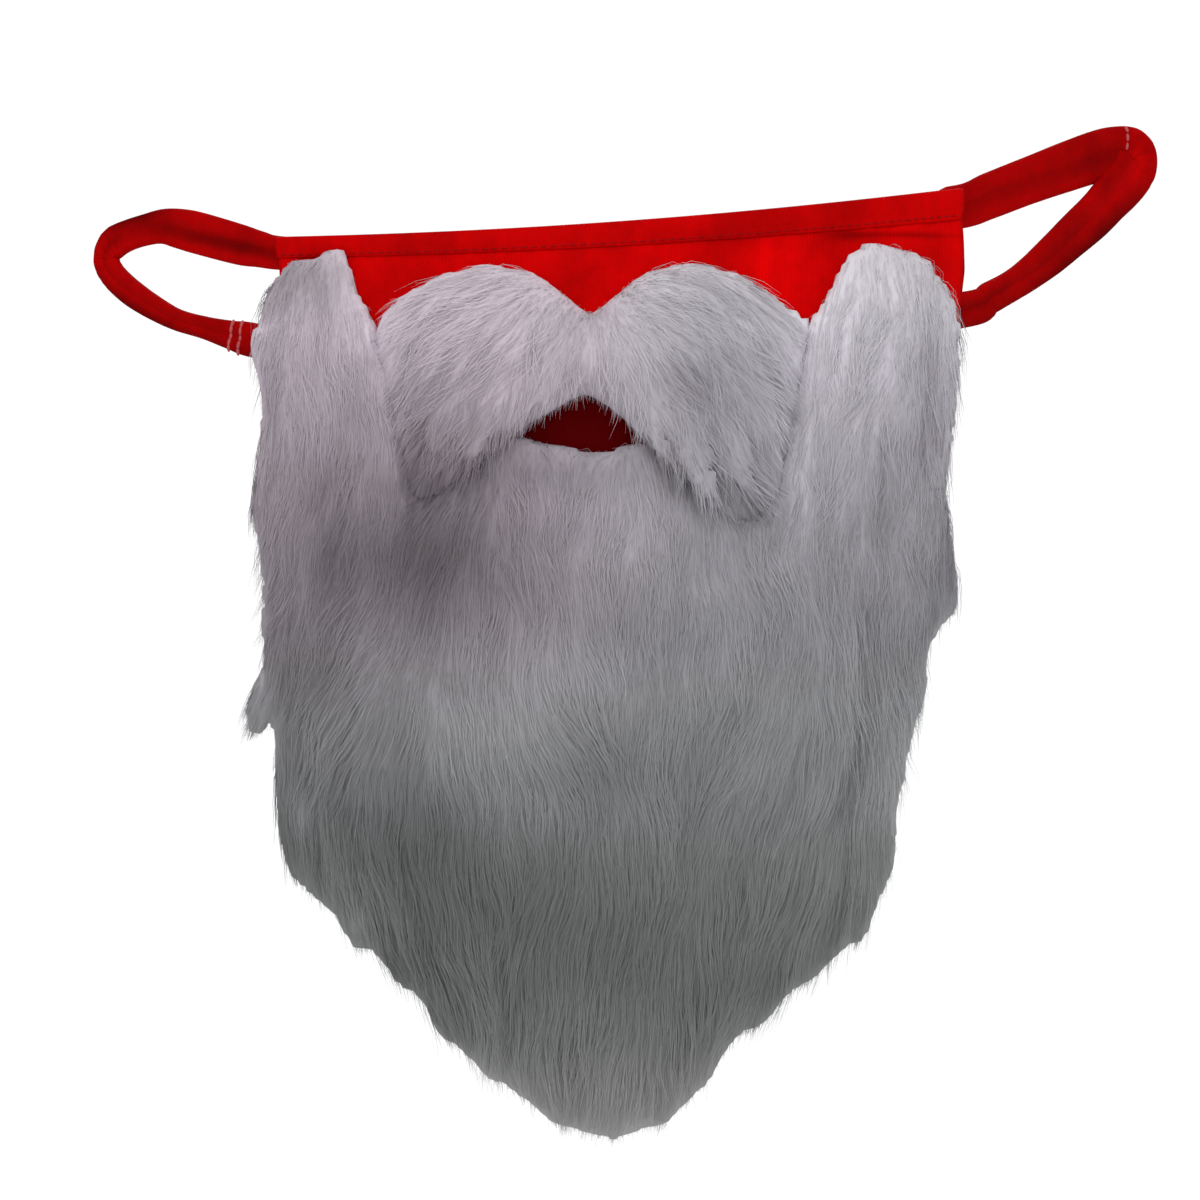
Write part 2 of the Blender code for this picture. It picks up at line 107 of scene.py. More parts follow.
class Graph:
    def __init__(self, tree):
        self.tree = tree
        tree.nodes.clear()

    def add(self, kind, values=None, output=0, **settings):
        node = self.tree.nodes.new(kind)
        for name, value in settings.items():
            setattr(node, name, value)
        for name, value in (values or {}).items():
            self.feed(pickSocket(node.inputs, name), value)
        return Signal(self, pickSocket(node.outputs, output))

    def feed(self, socket, value):
        if isinstance(value, Signal):
            self.tree.links.new(value.socket, socket)
        elif socket.type == "RGBA" and len(value) == 3:
            socket.default_value = (*value, 1.0)
        else:
            socket.default_value = value

    def end(self, kind, result):
        self.tree.links.new(result.socket, self.tree.nodes.new(kind).inputs[0])

    def maths(self, operation, *values):
        return self.add("ShaderNodeMath", dict(enumerate(values)), operation=operation)

    def mixColour(self, share, low, high):
        return self.add("ShaderNodeMix", {0: share, 6: low, 7: high}, 2, data_type="RGBA")

    def noise(self, vector, scale, detail=2.0, roughness=0.5, output="Fac"):
        return self.add("ShaderNodeTexNoise", {
            "Vector": vector, "Scale": scale, "Detail": detail, "Roughness": roughness,
        }, output, noise_dimensions="3D")

    def place(self):
        return self.add("ShaderNodeTexCoord", None, "Object")

    def line(self, start, end, count):
        line = {"Start": start, "End": end}
        line = self.add("GeometryNodeCurvePrimitiveLine", line, mode="POINTS")
        return self.add("GeometryNodeResampleCurve", {"Curve": line, "Count": count})

    def copies(self, points, instance, **more):
        made = {"Points": points, "Instance": instance, **more}
        made = self.add("GeometryNodeInstanceOnPoints", made)
        return self.add("GeometryNodeRealizeInstances", {"Geometry": made})

    def round(self, curve, sides, width):
        profile = self.add("GeometryNodeCurvePrimitiveCircle", {"Resolution": sides, "Radius": 1.0})
        return self.add("GeometryNodeCurveToMesh", {
            "Curve": curve, "Profile Curve": profile, "Scale": width * 0.5, "Fill Caps": True,
        })

    def give(self, mesh, material):
        mesh = self.add("GeometryNodeSetShadeSmooth", {"Geometry": mesh})
        mesh = self.add("GeometryNodeSetMaterial", {"Geometry": mesh, "Material": material})
        self.end("NodeGroupOutput", mesh)

    def attribute(self, name):
        return self.add("ShaderNodeAttribute", None, "Fac", attribute_name=name)


def linear(red, green, blue):
    # a colour as a screen shows it, 0 to 255, as the shader wants it
    return tuple(
        v / 12.92 if v <= 0.04045 else ((v + 0.055) / 1.055) ** 2.4
        for v in (red / 255, green / 255, blue / 255)
    )


def newMaterial(name):
    material = bpy.data.materials.new(name)
    material.use_nodes = True
    return material, Graph(material.node_tree)


def finishMaterial(graph, colour, roughness, gloss=0.2, bump=None, bumpSize=0.0):
    values = {"Base Color": colour, "Roughness": roughness, "Specular IOR Level": gloss}
    if bump is not None:
        values["Normal"] = graph.add("ShaderNodeBump", {
            "Height": bump, "Distance": bumpSize, "Strength": 1.0,
        }, "Normal")
    graph.end("ShaderNodeOutputMaterial", graph.add("ShaderNodeBsdfPrincipled", values, "BSDF"))


def newGroup(name, inputs):
    # a node group that takes a mesh and these values and gives back a mesh
    tree = bpy.data.node_groups.new(name, "GeometryNodeTree")
    graph, sockets = Graph(tree), {}
    for label, kind in (("Geometry", "Geometry"), *inputs):
        made = tree.interface.new_socket(label, in_out="INPUT", socket_type="NodeSocket" + kind)
        sockets[label] = made.identifier
    tree.interface.new_socket("Geometry", in_out="OUTPUT", socket_type="NodeSocketGeometry")
    return graph, sockets, graph.add("NodeGroupInput", None, "Geometry")


# the face that the cloth wraps, and how the cloth lies on it
face = {
    "browWrap": 0.205, "tipWrap": 0.33, "beardDrop": 0.297,
    "leanStart": 0.03, "leanDrop": 0.155, "chinForward": 0.014, "tipReturn": 0.006,
    "browRise": 0.0145, "browTilt": 0.068, "browBow": 0.005,
    "panelLeft": 0.107, "panelRight": 0.1275, "panelDrop": 0.254,
    "hemRise": 0.051, "hemReach": 1.3, "hemBend": 2.2,
    "wall": 0.0018, "seamGap": 0.00035, "strapGap": 0.0008, "tapeLeg": 0.0012,
}

# down, left half width, right half width, as shares of the panel's
panelSides = (
    (0.00, 1.000, 1.000), (0.12, 0.985, 1.010), (0.30, 0.985, 0.970),
    (0.55, 0.975, 0.900), (0.80, 0.920, 0.800), (1.00, 0.840, 0.720),
)


def shareFrom(start, value, reach):
    # how far it is from the start up to the value: 0 or less gives 0, the reach gives 1
    return np.clip((value - start) / reach, 0, 1)


def addSpots(total, rows, x, z):
    # adds soft round spots: x, z, width, height and what each adds at its middle
    for atX, atZ, wide, tall, change in rows:
        total += change * np.exp(-((x - atX) / wide) ** 2 - ((z - atZ) / tall) ** 2)
    return total


def chinLean(z):
    start, drop = face["leanStart"], face["leanDrop"]
    toChin = shareFrom(z, start, drop)
    below = shareFrom(z, start - drop, face["beardDrop"] - drop)
    return face["chinForward"] * (1 - np.cos(np.pi * toChin)) / 2 - face["tipReturn"] * below ** 2


def faceDepth(x, z):
    # how far back the cloth's inner face lies
    wrap = face["browWrap"] + (face["tipWrap"] - face["browWrap"]) * (-z / face["beardDrop"])
    return wrap - np.sqrt(wrap * wrap - x * x) - chinLean(z) + chinLean(0.0)


def faceNormal(x, z):
    # straight out of the front of the cloth, for arrays of places
    step = face["wall"]
    slopeX = (faceDepth(x + step, z) - faceDepth(x - step, z)) / (2 * step)
    slopeZ = (faceDepth(x, z + step) - faceDepth(x, z - step)) / (2 * step)
    normal = np.stack([slopeX, -np.ones_like(slopeX), slopeZ], -1)
    return normal / np.linalg.norm(normal, axis=-1, keepdims=True)


def facePoint(x, z, height):
    x, z = np.asarray(x, float), np.asarray(z, float)
    height = np.broadcast_to(np.asarray(height, float), x.shape)
    return np.stack([x, faceDepth(x, z), z], -1) + faceNormal(x, z) * height[..., None]


def browHeight(x):
    return face["browRise"] + face["browTilt"] * x + face["browBow"] * (x / face["panelRight"]) ** 2


def panelSide(side, down):
    column = [row[1 if side < 0 else 2] for row in panelSides]
    half = face["panelLeft"] if side < 0 else face["panelRight"]
    return half * np.interp(down, [row[0] for row in panelSides], column)


def hemHeight(across):
    bend = np.minimum(np.abs(across), face["hemReach"]) ** face["hemBend"]
    return face["hemRise"] * bend - face["panelDrop"]


def panelPlace(across, down):
    # across runs from -1 to 1 over the cloth, down from 0 to 1
    x = across * np.where(across < 0, panelSide(-1, down), panelSide(1, down))
    top = browHeight(x)
    return x, top + (hemHeight(across) - top) * down


def newObject(name, data):
    made = bpy.data.objects.new(name, data)
    bpy.context.scene.collection.objects.link(made)
    return made


def meshObject(name, points, faces, material, uv=None):
    mesh = bpy.data.meshes.new(name)
    mesh.from_pydata([tuple(p) for p in points], [], faces)
    mesh.materials.append(material)
    if uv is not None:
        corners = np.array([tuple(c) for f in uv for c in f], dtype=float)
        mesh.uv_layers.new(name="UVMap").data.foreach_set("uv", corners.ravel())
    mesh.shade_smooth()
    return newObject(name, mesh)


def turnOut(obj):
    work = bmesh.new()
    work.from_mesh(obj.data)
    bmesh.ops.recalc_face_normals(work, faces=work.faces)
    work.to_mesh(obj.data)
    work.free()


def settled(obj):
    # the object with its modifiers worked out, as a plain mesh
    graph = bpy.context.evaluated_depsgraph_get()
    mesh = bpy.data.meshes.new_from_object(obj.evaluated_get(graph))
    old = obj.data
    obj.modifiers.clear()
    obj.data = mesh
    if old.users == 0:
        bpy.data.meshes.remove(old)
    obj.data.name = obj.name
    return obj


def vectorsOf(source, kind):
    values = np.empty(len(source) * 3)
    source.foreach_get(kind, values)
    return values.reshape(-1, 3)


def placesOf(mesh):
    return vectorsOf(mesh.vertices, "co")


def normalsOf(mesh):
    return vectorsOf(mesh.vertex_normals, "vector")


def writeAttribute(mesh, name, values):
    kind, field = ("FLOAT", "value") if values.ndim == 1 else ("FLOAT_VECTOR", "vector")
    layer = mesh.attributes.new(name, kind, "POINT")
    layer.data.foreach_set(field, values.astype(np.float32).ravel())


def closedWall(front, back, uvFront):
    # points, faces and corner UVs of a closed wall between two grids
    rows, columns = front.shape[:2]
    points = np.concatenate([front.reshape(-1, 3), back.reshape(-1, 3)])
    behind = rows * columns
    faces, uvs = [], []
    for r in range(rows - 1):
        for c in range(columns - 1):
            a = r * columns + c
            quad = (a, a + 1, a + 1 + columns, a + columns)
            corner = [uvFront[r, c], uvFront[r, c + 1], uvFront[r + 1, c + 1], uvFront[r + 1, c]]
            faces += [quad, tuple(behind + q for q in reversed(quad))]
            uvs += [corner, list(reversed(corner))]
    rim = [(0, c) for c in range(columns - 1)] + [(r, columns - 1) for r in range(rows - 1)]
    rim += [(rows - 1, c) for c in range(columns - 1, 0, -1)]
    rim += [(r, 0) for r in range(rows - 1, 0, -1)]
    for (r, c), (s, d) in zip(rim, rim[1:] + rim[:1]):
        a, b = r * columns + c, s * columns + d
        faces.append((a, behind + a, behind + b, b))
        uvs.append([uvFront[r, c], uvFront[r, c], uvFront[s, d], uvFront[s, d]])
    return points, faces, uvs


def makeTube(name, rings, along, around, material):
    # a closed tube through rings of points, with its UVs along it and around it
    grid = np.stack(rings, 1)
    count, sides = grid.shape[:2]
    faces = [tuple(range(sides)), tuple(range((count - 1) * sides, count * sides))[::-1]]
    uvs = [[(0.0, around[s]) for s in range(sides)]] * 2
    for c in range(count - 1):
        for s in range(sides):
            t = (s + 1) % sides
            faces.append((c * sides + s, c * sides + t, (c + 1) * sides + t, (c + 1) * sides + s))
            uvs.append([(along[c], around[s]), (along[c], around[s + 1]),
                        (along[c + 1], around[s + 1]), (along[c + 1], around[s])])
    return meshObject(name, grid.reshape(-1, 3), faces, material, uvs)


# the materials of the red cloth; threads counts the ribs of the knit in a metre
redCloth = {
    "colour": linear(222, 1, 2), "shadeColour": linear(136, 0, 1),
    "roughness": 0.82, "threads": 900.0, "bumpSize": 0.00012,
    # x, z, width, height in millimetres and the change there: painted shade in the dimples and
    # folds under the tape, and lighter spots
    "patches": (
        (-6, 2, 8, 12, -0.22), (10, 6, 6, 5, -0.20), (37, 11, 6, 3, -0.14),
        (51, 12, 7, 3, -0.16), (28, 7, 8, 4, 0.16), (60, 3, 3, 12, 0.20),
        (68, -2, 3, 12, 0.14), (90, 12, 7, 2, -0.36), (106, 13, 20, 1.2, -0.42),
        (-73, -8, 9, 11, -0.20), (-55, 6, 9, 5, -0.10), (80, 8, 5, 8, -0.12),
        (119, 3, 7, 14, -0.24),
    ),
    # painted shade on the cloth behind the mouth opening: where, how wide and tall, and its dark
    # colour
    "mouthShade": {"x": -0.002, "z": -0.053, "wide": 0.034, "tall": 0.020, "colour": linear(78, 0, 1)},
}
redTape = {
    "colour": linear(208, 1, 2), "shadeColour": linear(124, 0, 1),
    "roughness": 0.78, "threads": 1100.0, "bumpSize": 0.0001,
}
redStrap = {
    "colour": linear(184, 1, 2), "shadeColour": linear(108, 0, 1),
    # how far the painted shade in the strap's crease and along its edge darkens it
    "roughness": 0.75, "threads": 1000.0, "bumpSize": 0.00012, "grooveShadeStrength": 0.66,
}
knitLook = {"napScale": 1400.0, "blotchShadeScale": 38.0, "mottleScale": 260.0, "gloss": 0.02}


def clothMaterial(name, look):
    material, graph = newMaterial(name)
    u = graph.add("ShaderNodeUVMap", None, "UV", uv_map="UVMap").part("X")
    place = graph.place()
    x = place.part("X")
    z = x.of("Z")
    turn = 2 * math.pi * look["threads"]
    rows = (u.of("Y") * turn).sums("SINE")
    ribs = (u * turn + rows * 0.8).sums("SINE")
    knit = (ribs * 0.5 + 0.5) * (rows * 0.25 + 0.75)
    nap = graph.noise(place, knitLook["napScale"], 3.0, 0.7)
    # painted shade of the cloth's small dimples, as soft dark blotches, mixed with a finer mottle
    blotchShade = graph.noise(place, knitLook["blotchShadeScale"], 4.0, 0.6).ramp(0.3, 0.75)
    mottle = graph.noise(place, knitLook["mottleScale"], 3.0, 0.6)
    shade = look["shadeColour"]
    tint = graph.mixColour((blotchShade * 0.55 + mottle * 0.4) * 0.8, look["colour"], shade)
    tint = graph.mixColour(knit * -0.22 + 0.22, tint, shade)
    if "patches" in look:
        # painted shade in the cloth's dimples and folds, and lighter spots, spot by spot
        tone = graph.add("ShaderNodeValue")
        tone.socket.default_value = 1.0
        for atX, atZ, wide, tall, change in look["patches"]:
            reach = ((x * 1000.0 - atX) / wide) ** 2.0 + ((z * 1000.0 - atZ) / tall) ** 2.0
            tone = tone + (reach * -1.0).sums("EXPONENT") * change
        tint = tint.scaled(tone)
    if "mouthShade" in look:
        # painted shade: the cloth behind the mouth opening lies deep in the fur, so its shade is
        # painted in nearly black
        mouthShade = look["mouthShade"]
        reach = ((x - mouthShade["x"]) / mouthShade["wide"]) ** 2.0
        reach = reach + ((z - mouthShade["z"]) / mouthShade["tall"]) ** 2.0
        share = reach.ramp(1.5, 0.7) * graph.attribute("front")
        tint = graph.mixColour(share, tint, mouthShade["colour"])
    # painted shade in the strap's crease and along its outer edge
    if "grooveShadeStrength" in look:
        tint = tint.scaled(1.0 - graph.attribute("grooveShade") * look["grooveShadeStrength"])
    bump = knit * 0.7 + nap * 0.6
    finishMaterial(graph, tint, look["roughness"], knitLook["gloss"], bump, look["bumpSize"])
    return material


clothPanel = {
    "columns": 130, "rows": 104,
    # how far the gathered cloth waves under the tape, how long a wave is,
    # and how far below the top edge it is strongest and over what height
    "ripple": 0.0007, "rippleWave": 0.019, "rippleAt": 0.016, "rippleSpread": 0.012,
    "pucker": 0.0004, "puckerWave": 0.0062, "puckerAt": 0.0085, "puckerSpread": 0.0035,
    "flatAt": 0.006, "flatSpread": 0.004,
}


def makeClothPanel(size):
    across = np.linspace(-1, 1, size["columns"])
    down = np.linspace(0, 1, size["rows"])
    x, z = panelPlace(*np.meshgrid(across, down))
    drop = browHeight(x) - z
    band = np.exp(-((drop - size["rippleAt"]) / size["rippleSpread"]) ** 2)
    seam = np.exp(-((drop - size["puckerAt"]) / size["puckerSpread"]) ** 2)
    wave = np.sin(2 * np.pi * (x + 0.35 * drop) / size["rippleWave"] + 2.1 * np.sin(x * 70))
    fine = np.sin(2 * np.pi * x / size["puckerWave"] + 1.3 * np.sin(x * 190))
    rise = size["ripple"] * band * wave * 0.5 + size["pucker"] * seam * fine * 0.5
    # nearly flat under the tape's fold
    spread = size["flatSpread"]
    rise *= 1 - 0.8 * shareFrom(np.abs(drop - size["flatAt"]), spread, spread)
    front = facePoint(x, z, face["wall"] + rise)
    back = facePoint(x, z, rise * 0.6)
    points, faces, uvs = closedWall(front, back, np.stack([x, z], -1))
    piece = meshObject("clothPanel", points, faces, clothMaterial("redCloth", redCloth), uvs)
    writeAttribute(piece.data, "front", np.repeat([1.0, 0.0], x.size))
    turnOut(piece)
    return piece


tape = {"leftHeight": 0.0065, "rightHeight": 0.010, "columns": 200, "around": 0.03}


def tapeRun(share):
    # along the cloth's top edge: where it lies and how high the tape is there
    x, top = panelPlace(2 * share - 1, np.zeros_like(share))
    return x, top, tape["leftHeight"] + (tape["rightHeight"] - tape["leftHeight"]) * share ** 2


def makeTape():
    # a strip folded over the cloth's top edge, puffed between its fold and its seam
    x, top, height = tapeRun(np.linspace(0, 1, tape["columns"]))
    leg, gap = face["tapeLeg"], face["seamGap"]
    front, middle = face["wall"] + gap, face["wall"] / 2
    reach = front + leg - middle
    ripple = 0.16 * np.sin(2 * np.pi * x / 0.0058 + 2 * np.sin(x * 60)) + 0.10 * np.sin(x * 210)
    # down: share of the tape's height below its fold; out: how far off the cloth's face
    section = ((1.0, 0.10), (0.94, 0.42), (0.86, 0.40), (0.6, 1.0), (0.32, 1.2), (0.1, 1.1))
    section = [(down, front + leg * out * (1 + ripple * (0.5 + down))) for down, out in section]
    rings = [facePoint(x, top + gap - height * down, out) for down, out in section]
    for turn in (20, 55, 90, 125, 160):
        angle = math.radians(turn)
        lift = gap + leg * math.sin(angle)
        rings.append(facePoint(x, top + lift, middle + reach * math.cos(angle)))
    for down, out in reversed(section):
        rings.append(facePoint(x, top + gap - height * down, face["wall"] - out))
    for drop, out in ((height, -gap), (0, -gap), (0, front), (height, front)):
        rings.append(facePoint(x, top + gap - drop, out))
    around = np.linspace(0, tape["around"], len(rings) + 1)
    piece = makeTube("topTape", rings, x, around, clothMaterial("redTape", redTape))
    turnOut(piece)
    return piece


strap = {
    "width": 0.014, "thick": 0.004, "tuck": 0.0125, "sections": 210,
    "reach": {-1: 0.071, 1: 0.0725},
    "toe": {-1: math.radians(38), 1: math.radians(43)},
    "crumple": 0.10,              # folds where the strap turns, as a share of its thickness
    "lumps": (0.05, 0.03),
    "wander": 0.06,               # the crease doesn't run dead straight
}

# out, down, width, thick, band, edge: the strap's way round each loop in shares,
# with the painted shade of its middle band and its outer edge there, painted light where negative
leftLoop = (
    (-0.80, -0.014, 0.84, 1.00, 0.3, 0.0), (-0.25, -0.019, 0.84, 1.00, 0.4, 0.0),
    (0.04, -0.025, 0.84, 1.00, 0.6, 0.0), (0.14, -0.030, 0.91, 1.00, 0.8, 0.0),
    (0.24, -0.036, 1.02, 1.00, 0.9, 0.0), (0.44, -0.050, 1.06, 1.00, 0.8, 0.0),
    (0.54, -0.056, 1.00, 1.00, 0.6, 0.1), (0.62, -0.059, 0.88, 1.05, 0.4, 0.4),
    (0.70, -0.056, 0.80, 1.10, 0.2, 0.9), (0.79, -0.050, 0.79, 1.15, 0.2, 0.9),
    (0.86, -0.042, 0.84, 1.20, 0.5, 0.5), (0.895, -0.031, 0.80, 1.20, 0.4, 0.1),
    (0.90, -0.017, 0.71, 1.20, 0.1, 0.1), (0.86, -0.001, 0.70, 1.15, 0.0, 0.5),
    (0.78, 0.017, 0.70, 1.05, 0.0, 0.8), (0.66, 0.036, 0.63, 1.00, 0.0, 0.8),
    (0.54, 0.051, 0.55, 1.00, 0.0, 0.7), (0.40, 0.061, 0.57, 1.00, 0.0, 0.6),
    (0.27, 0.070, 0.72, 1.00, 0.1, 0.5), (0.17, 0.076, 0.86, 1.00, 0.1, 0.4),
    (-0.10, 0.090, 0.86, 1.00, 0.1, 0.4),
)
rightLoop = (
    (-0.79, -0.066, 1.02, 1.00, 0.2, 0.0), (-0.28, -0.071, 1.06, 1.00, 0.3, 0.0),
    (0.05, -0.081, 1.10, 1.00, 0.3, 0.1), (0.20, -0.095, 1.17, 1.00, 0.4, 0.1),
    (0.40, -0.115, 1.20, 1.00, 0.4, 0.1), (0.60, -0.134, 1.28, 1.00, 0.4, 0.2),
    (0.75, -0.147, 1.32, 1.05, 0.5, 0.2), (0.84, -0.152, 1.30, 1.10, 0.3, 0.1),
    (0.905, -0.151, 1.34, 1.15, -0.5, -0.3), (0.93, -0.143, 1.45, 1.15, -0.6, -0.3),
    (0.915, -0.131, 1.42, 1.15, -0.6, 0.1), (0.87, -0.115, 1.34, 1.10, -0.5, 0.5),
    (0.80, -0.097, 1.27, 1.00, -0.3, 0.8), (0.72, -0.076, 1.21, 1.00, -0.2, 1.0),
    (0.61, -0.052, 1.13, 1.00, 0.2, 1.0), (0.50, -0.028, 1.03, 1.00, 0.2, 0.9),
    (0.39, -0.006, 0.89, 1.00, 0.2, 0.7), (0.29, 0.011, 0.80, 1.00, 0.2, 0.5),
    (0.18, 0.026, 0.83, 1.00, 0.4, 0.4), (0.06, 0.040, 0.90, 1.00, 0.5, 0.3),
    (-0.62, 0.063, 0.90, 1.00, 0.5, 0.3),
)

# across, out: half of the strap's section, a tube pressed flat with a shallow crease down it
strapSection = (
    (1.00, 0.00), (0.985, 0.34), (0.93, 0.66), (0.82, 0.88), (0.66, 0.97), (0.48, 1.00),
    (0.30, 0.95), (0.15, 0.86), (0.05, 0.76), (0.00, 0.73), (-0.05, 0.76), (-0.15, 0.86),
    (-0.30, 0.95), (-0.48, 1.00), (-0.66, 0.97), (-0.82, 0.88), (-0.93, 0.66), (-0.985, 0.34),
)


def smoothRows(rows, count):
    # the rows joined by a smooth curve through each of them
    ends = np.array([rows[0], *rows, rows[-1]])
    at = np.linspace(0, len(rows) - 1, count)
    k = np.minimum(at.astype(int), len(rows) - 2)
    t = (at - k)[:, None]
    p, q, r, s = ends[k], ends[k + 1], ends[k + 2], ends[k + 3]
    return 0.5 * (2 * q + (r - p) * t + (2 * p - 5 * q + 4 * r - s) * t ** 2
                  + (3 * q - p - 3 * r + s) * t ** 3)


def unitRows(vectors):
    return vectors / np.linalg.norm(vectors, axis=1, keepdims=True)


def makeStrap(name, side, rows):
    reach, toe = strap["reach"][side], strap["toe"][side]
    clothEdge = float(panelSide(side, 0.0))
    path = smoothRows(rows, strap["sections"])
    half = strap["thick"] / 2
    share = np.linspace(0, 1, len(path))
    behind = (face["seamGap"] + face["tapeLeg"]) * (1 - share) + face["strapGap"] + half
    out, down = path[:, 0], path[:, 1]
    beyond = np.maximum(out, 0) * reach
    x = side * (clothEdge + np.minimum(out, 0) * strap["tuck"])
    middle = facePoint(x, -down * face["beardDrop"], -behind)
    middle += np.stack([side * beyond, beyond * math.tan(toe), np.zeros_like(beyond)], -1)
    along = unitRows(np.gradient(middle, axis=0))
    flat = np.array([side * math.sin(toe), -math.cos(toe), 0.0])
    farX = np.abs(middle[:, 0])
    inside = shareFrom(farX, clothEdge, strap["width"])[:, None]
    onCloth = faceNormal(side * np.minimum(farX, clothEdge), middle[:, 2])
    across = unitRows(np.cross(along, flat * (1 - inside) + onCloth * inside))
    normal = np.cross(across, along)
    steps = np.linalg.norm(np.diff(middle, axis=0), axis=1)
    length = np.concatenate([[0], np.cumsum(steps)])
    wide, thick = strap["width"] / 2 * path[:, 2], half * path[:, 3]
    turning = np.linalg.norm(np.gradient(along, axis=0), axis=1)
    crumple = np.clip(turning / np.maximum(np.gradient(length), 1e-6) / 60, 0, 1)
    section = list(strapSection) + [(-w, -t) for w, t in strapSection]
    lump, bump = strap["lumps"]
    rings = []
    for w, t in section:
        fold = strap["crumple"] * crumple * np.sin(length * 2200 + 3 * w) * (1 - abs(w) * 0.4)
        soft = lump * np.sin(length * 310 + 2.2 * w + side) + bump * np.sin(length * 730 - 3 * w)
        place = w + strap["wander"] * np.sin(length * 95 + side) * (1 - w * w)
        rings.append(middle + across * (wide * place)[:, None]
                     + normal * (thick * t * (1 + fold + soft))[:, None])
    ring = np.stack(rings, 1)[20]
    girth = np.linalg.norm(np.diff(ring, axis=0, append=ring[:1]), axis=1)
    piece = makeTube(name, rings, length, np.concatenate([[0], np.cumsum(girth)]), strapRed)
    # painted shade down the strap's middle crease and along its outer edge, painted light where a
    # row's value is negative
    outer = -side * np.array([w for w, _ in section])
    band = np.exp(-((outer + 0.12) / 0.36) ** 2) - 0.25 * np.exp(-((outer + 0.75) / 0.20) ** 2)
    grooveShade = path[:, 4:5] * band + path[:, 5:6] * shareFrom(0.05, outer, 0.8)
    writeAttribute(piece.data, "grooveShade", grooveShade.ravel())
    turnOut(piece)
    return piece, {"middle": middle, "across": across * wide[:, None],
                   "normal": normal * thick[:, None]}


panelPiece = makeClothPanel(clothPanel)
tapePiece = makeTape()
strapRed = clothMaterial("redStrap", redStrap)
leftStrap, leftRun = makeStrap("leftEarLoop", -1, leftLoop)
rightStrap, rightRun = makeStrap("rightEarLoop", 1, rightLoop)
print("cloth, tape and straps made")

seam = {
    "spacing": 0.0034, "length": 0.0024, "thick": 0.00042,
    "share": 0.84,                # where the seam runs, down the tape's height
    "ends": (0.012, 0.988), "points": 160, "rise": 0.62,
}
tack = {"spacing": 0.0021, "length": 0.0026, "thick": 0.0013, "points": 14, "lift": 1.04}


def stitchTree():
    # short threads in a row along each line of the mesh that comes in
    graph, sockets, lines = newGroup("sewStitches", (
        ("Spacing", "Float"), ("Length", "Float"), ("Thickness", "Float"), ("Material", "Material"),
    ))
    points = graph.add("GeometryNodeCurveToPoints", {
        "Curve": graph.add("GeometryNodeMeshToCurve", {"Mesh": lines}),
        "Length": lines.of("Spacing"),
    }, "Points", mode="LENGTH")
    half = lines.of("Length") * 0.5
    top = graph.add("ShaderNodeCombineXYZ", {"Z": half})
    foot = graph.add("ShaderNodeCombineXYZ", {"Z": half * -1.0})
    t = graph.add("GeometryNodeSplineParameter", None, "Factor")
    plump = (1.0 - (t * 2.0 - 1.0) ** 4.0) * 0.55 + 0.45
    thread = graph.round(graph.line(foot, top, 5), 6, plump * lines.of("Thickness"))
    sewn = graph.copies(points, thread, Rotation=points.of("Rotation"))
    graph.give(sewn, lines.of("Material"))
    return graph.tree, sockets


def grow(obj, group, values):
    # runs a node group on the object with these values
    tree, sockets = group
    modifier = obj.modifiers.new("grow", "NODES")
    modifier.node_group = tree
    for label, value in values.items():
        modifier[sockets[label]] = value
    return settled(obj)


def sew(name, lines, size, material):
    edges, first = [], 0
    for line in lines:
        edges += [(first + i, first + i + 1) for i in range(len(line) - 1)]
        first += len(line)
    mesh = bpy.data.meshes.new(name)
    mesh.from_pydata([tuple(p) for line in lines for p in line], edges, [])
    return grow(newObject(name, mesh), stitchTree(), {
        "Spacing": size["spacing"], "Length": size["length"], "Thickness": size["thick"],
        "Material": material,
    })


def seamLine():
    x, top, height = tapeRun(np.linspace(*seam["ends"], seam["points"]))
    out = face["wall"] + face["seamGap"] + face["tapeLeg"] * seam["rise"]
    return facePoint(x, top + face["seamGap"] - height * seam["share"], out)


def tackLine(run, k, low, high):
    # a row of stitches across a strap, over its front
    share = np.linspace(low, high, tack["points"])[:, None]
    bulge = np.interp(np.abs(share), (0, 0.15, 0.48, 0.82, 1), (0.66, 0.8, 1.0, 0.92, 0.3))
    front = run["normal"][k] if run["normal"][k][1] < 0 else -run["normal"][k]
    return run["middle"][k] + run["across"][k] * share + front * bulge * tack["lift"]


def nearestRow(run, x, z, after=0.0):
    first = int(after * len(run["middle"]))
    gap = np.hypot(run["middle"][first:, 0] - x, run["middle"][first:, 2] - z)
    return first + int(np.argmin(gap))


def threadMaterial(name, colour):
    material, graph = newMaterial(name)
    shade = graph.noise(graph.place(), 900.0)
    dark = tuple(v * 0.45 for v in colour)
    finishMaterial(graph, graph.mixColour(shade * 0.6, colour, dark), 0.7, 0.1)
    return material


paleThread = threadMaterial("paleThread", linear(190, 88, 92))
redThread = threadMaterial("redThread", linear(150, 3, 6))
seamStitches = sew("seamStitches", [seamLine()], seam, redThread)
leftTacks = sew("leftStrapTacks", [
    tackLine(leftRun, nearestRow(leftRun, x, z, after=0.6), -0.84, 0.84)
    for x, z in ((-0.1236, -0.0215), (-0.1198, -0.0225))
], tack, paleThread)
rightFold = nearestRow(rightRun, 0.1880, 0.0448)
rightTacks = sew("rightStrapTacks", [tackLine(rightRun, rightFold, -0.88, -0.22)], tack, paleThread)
print("stitches sewn")

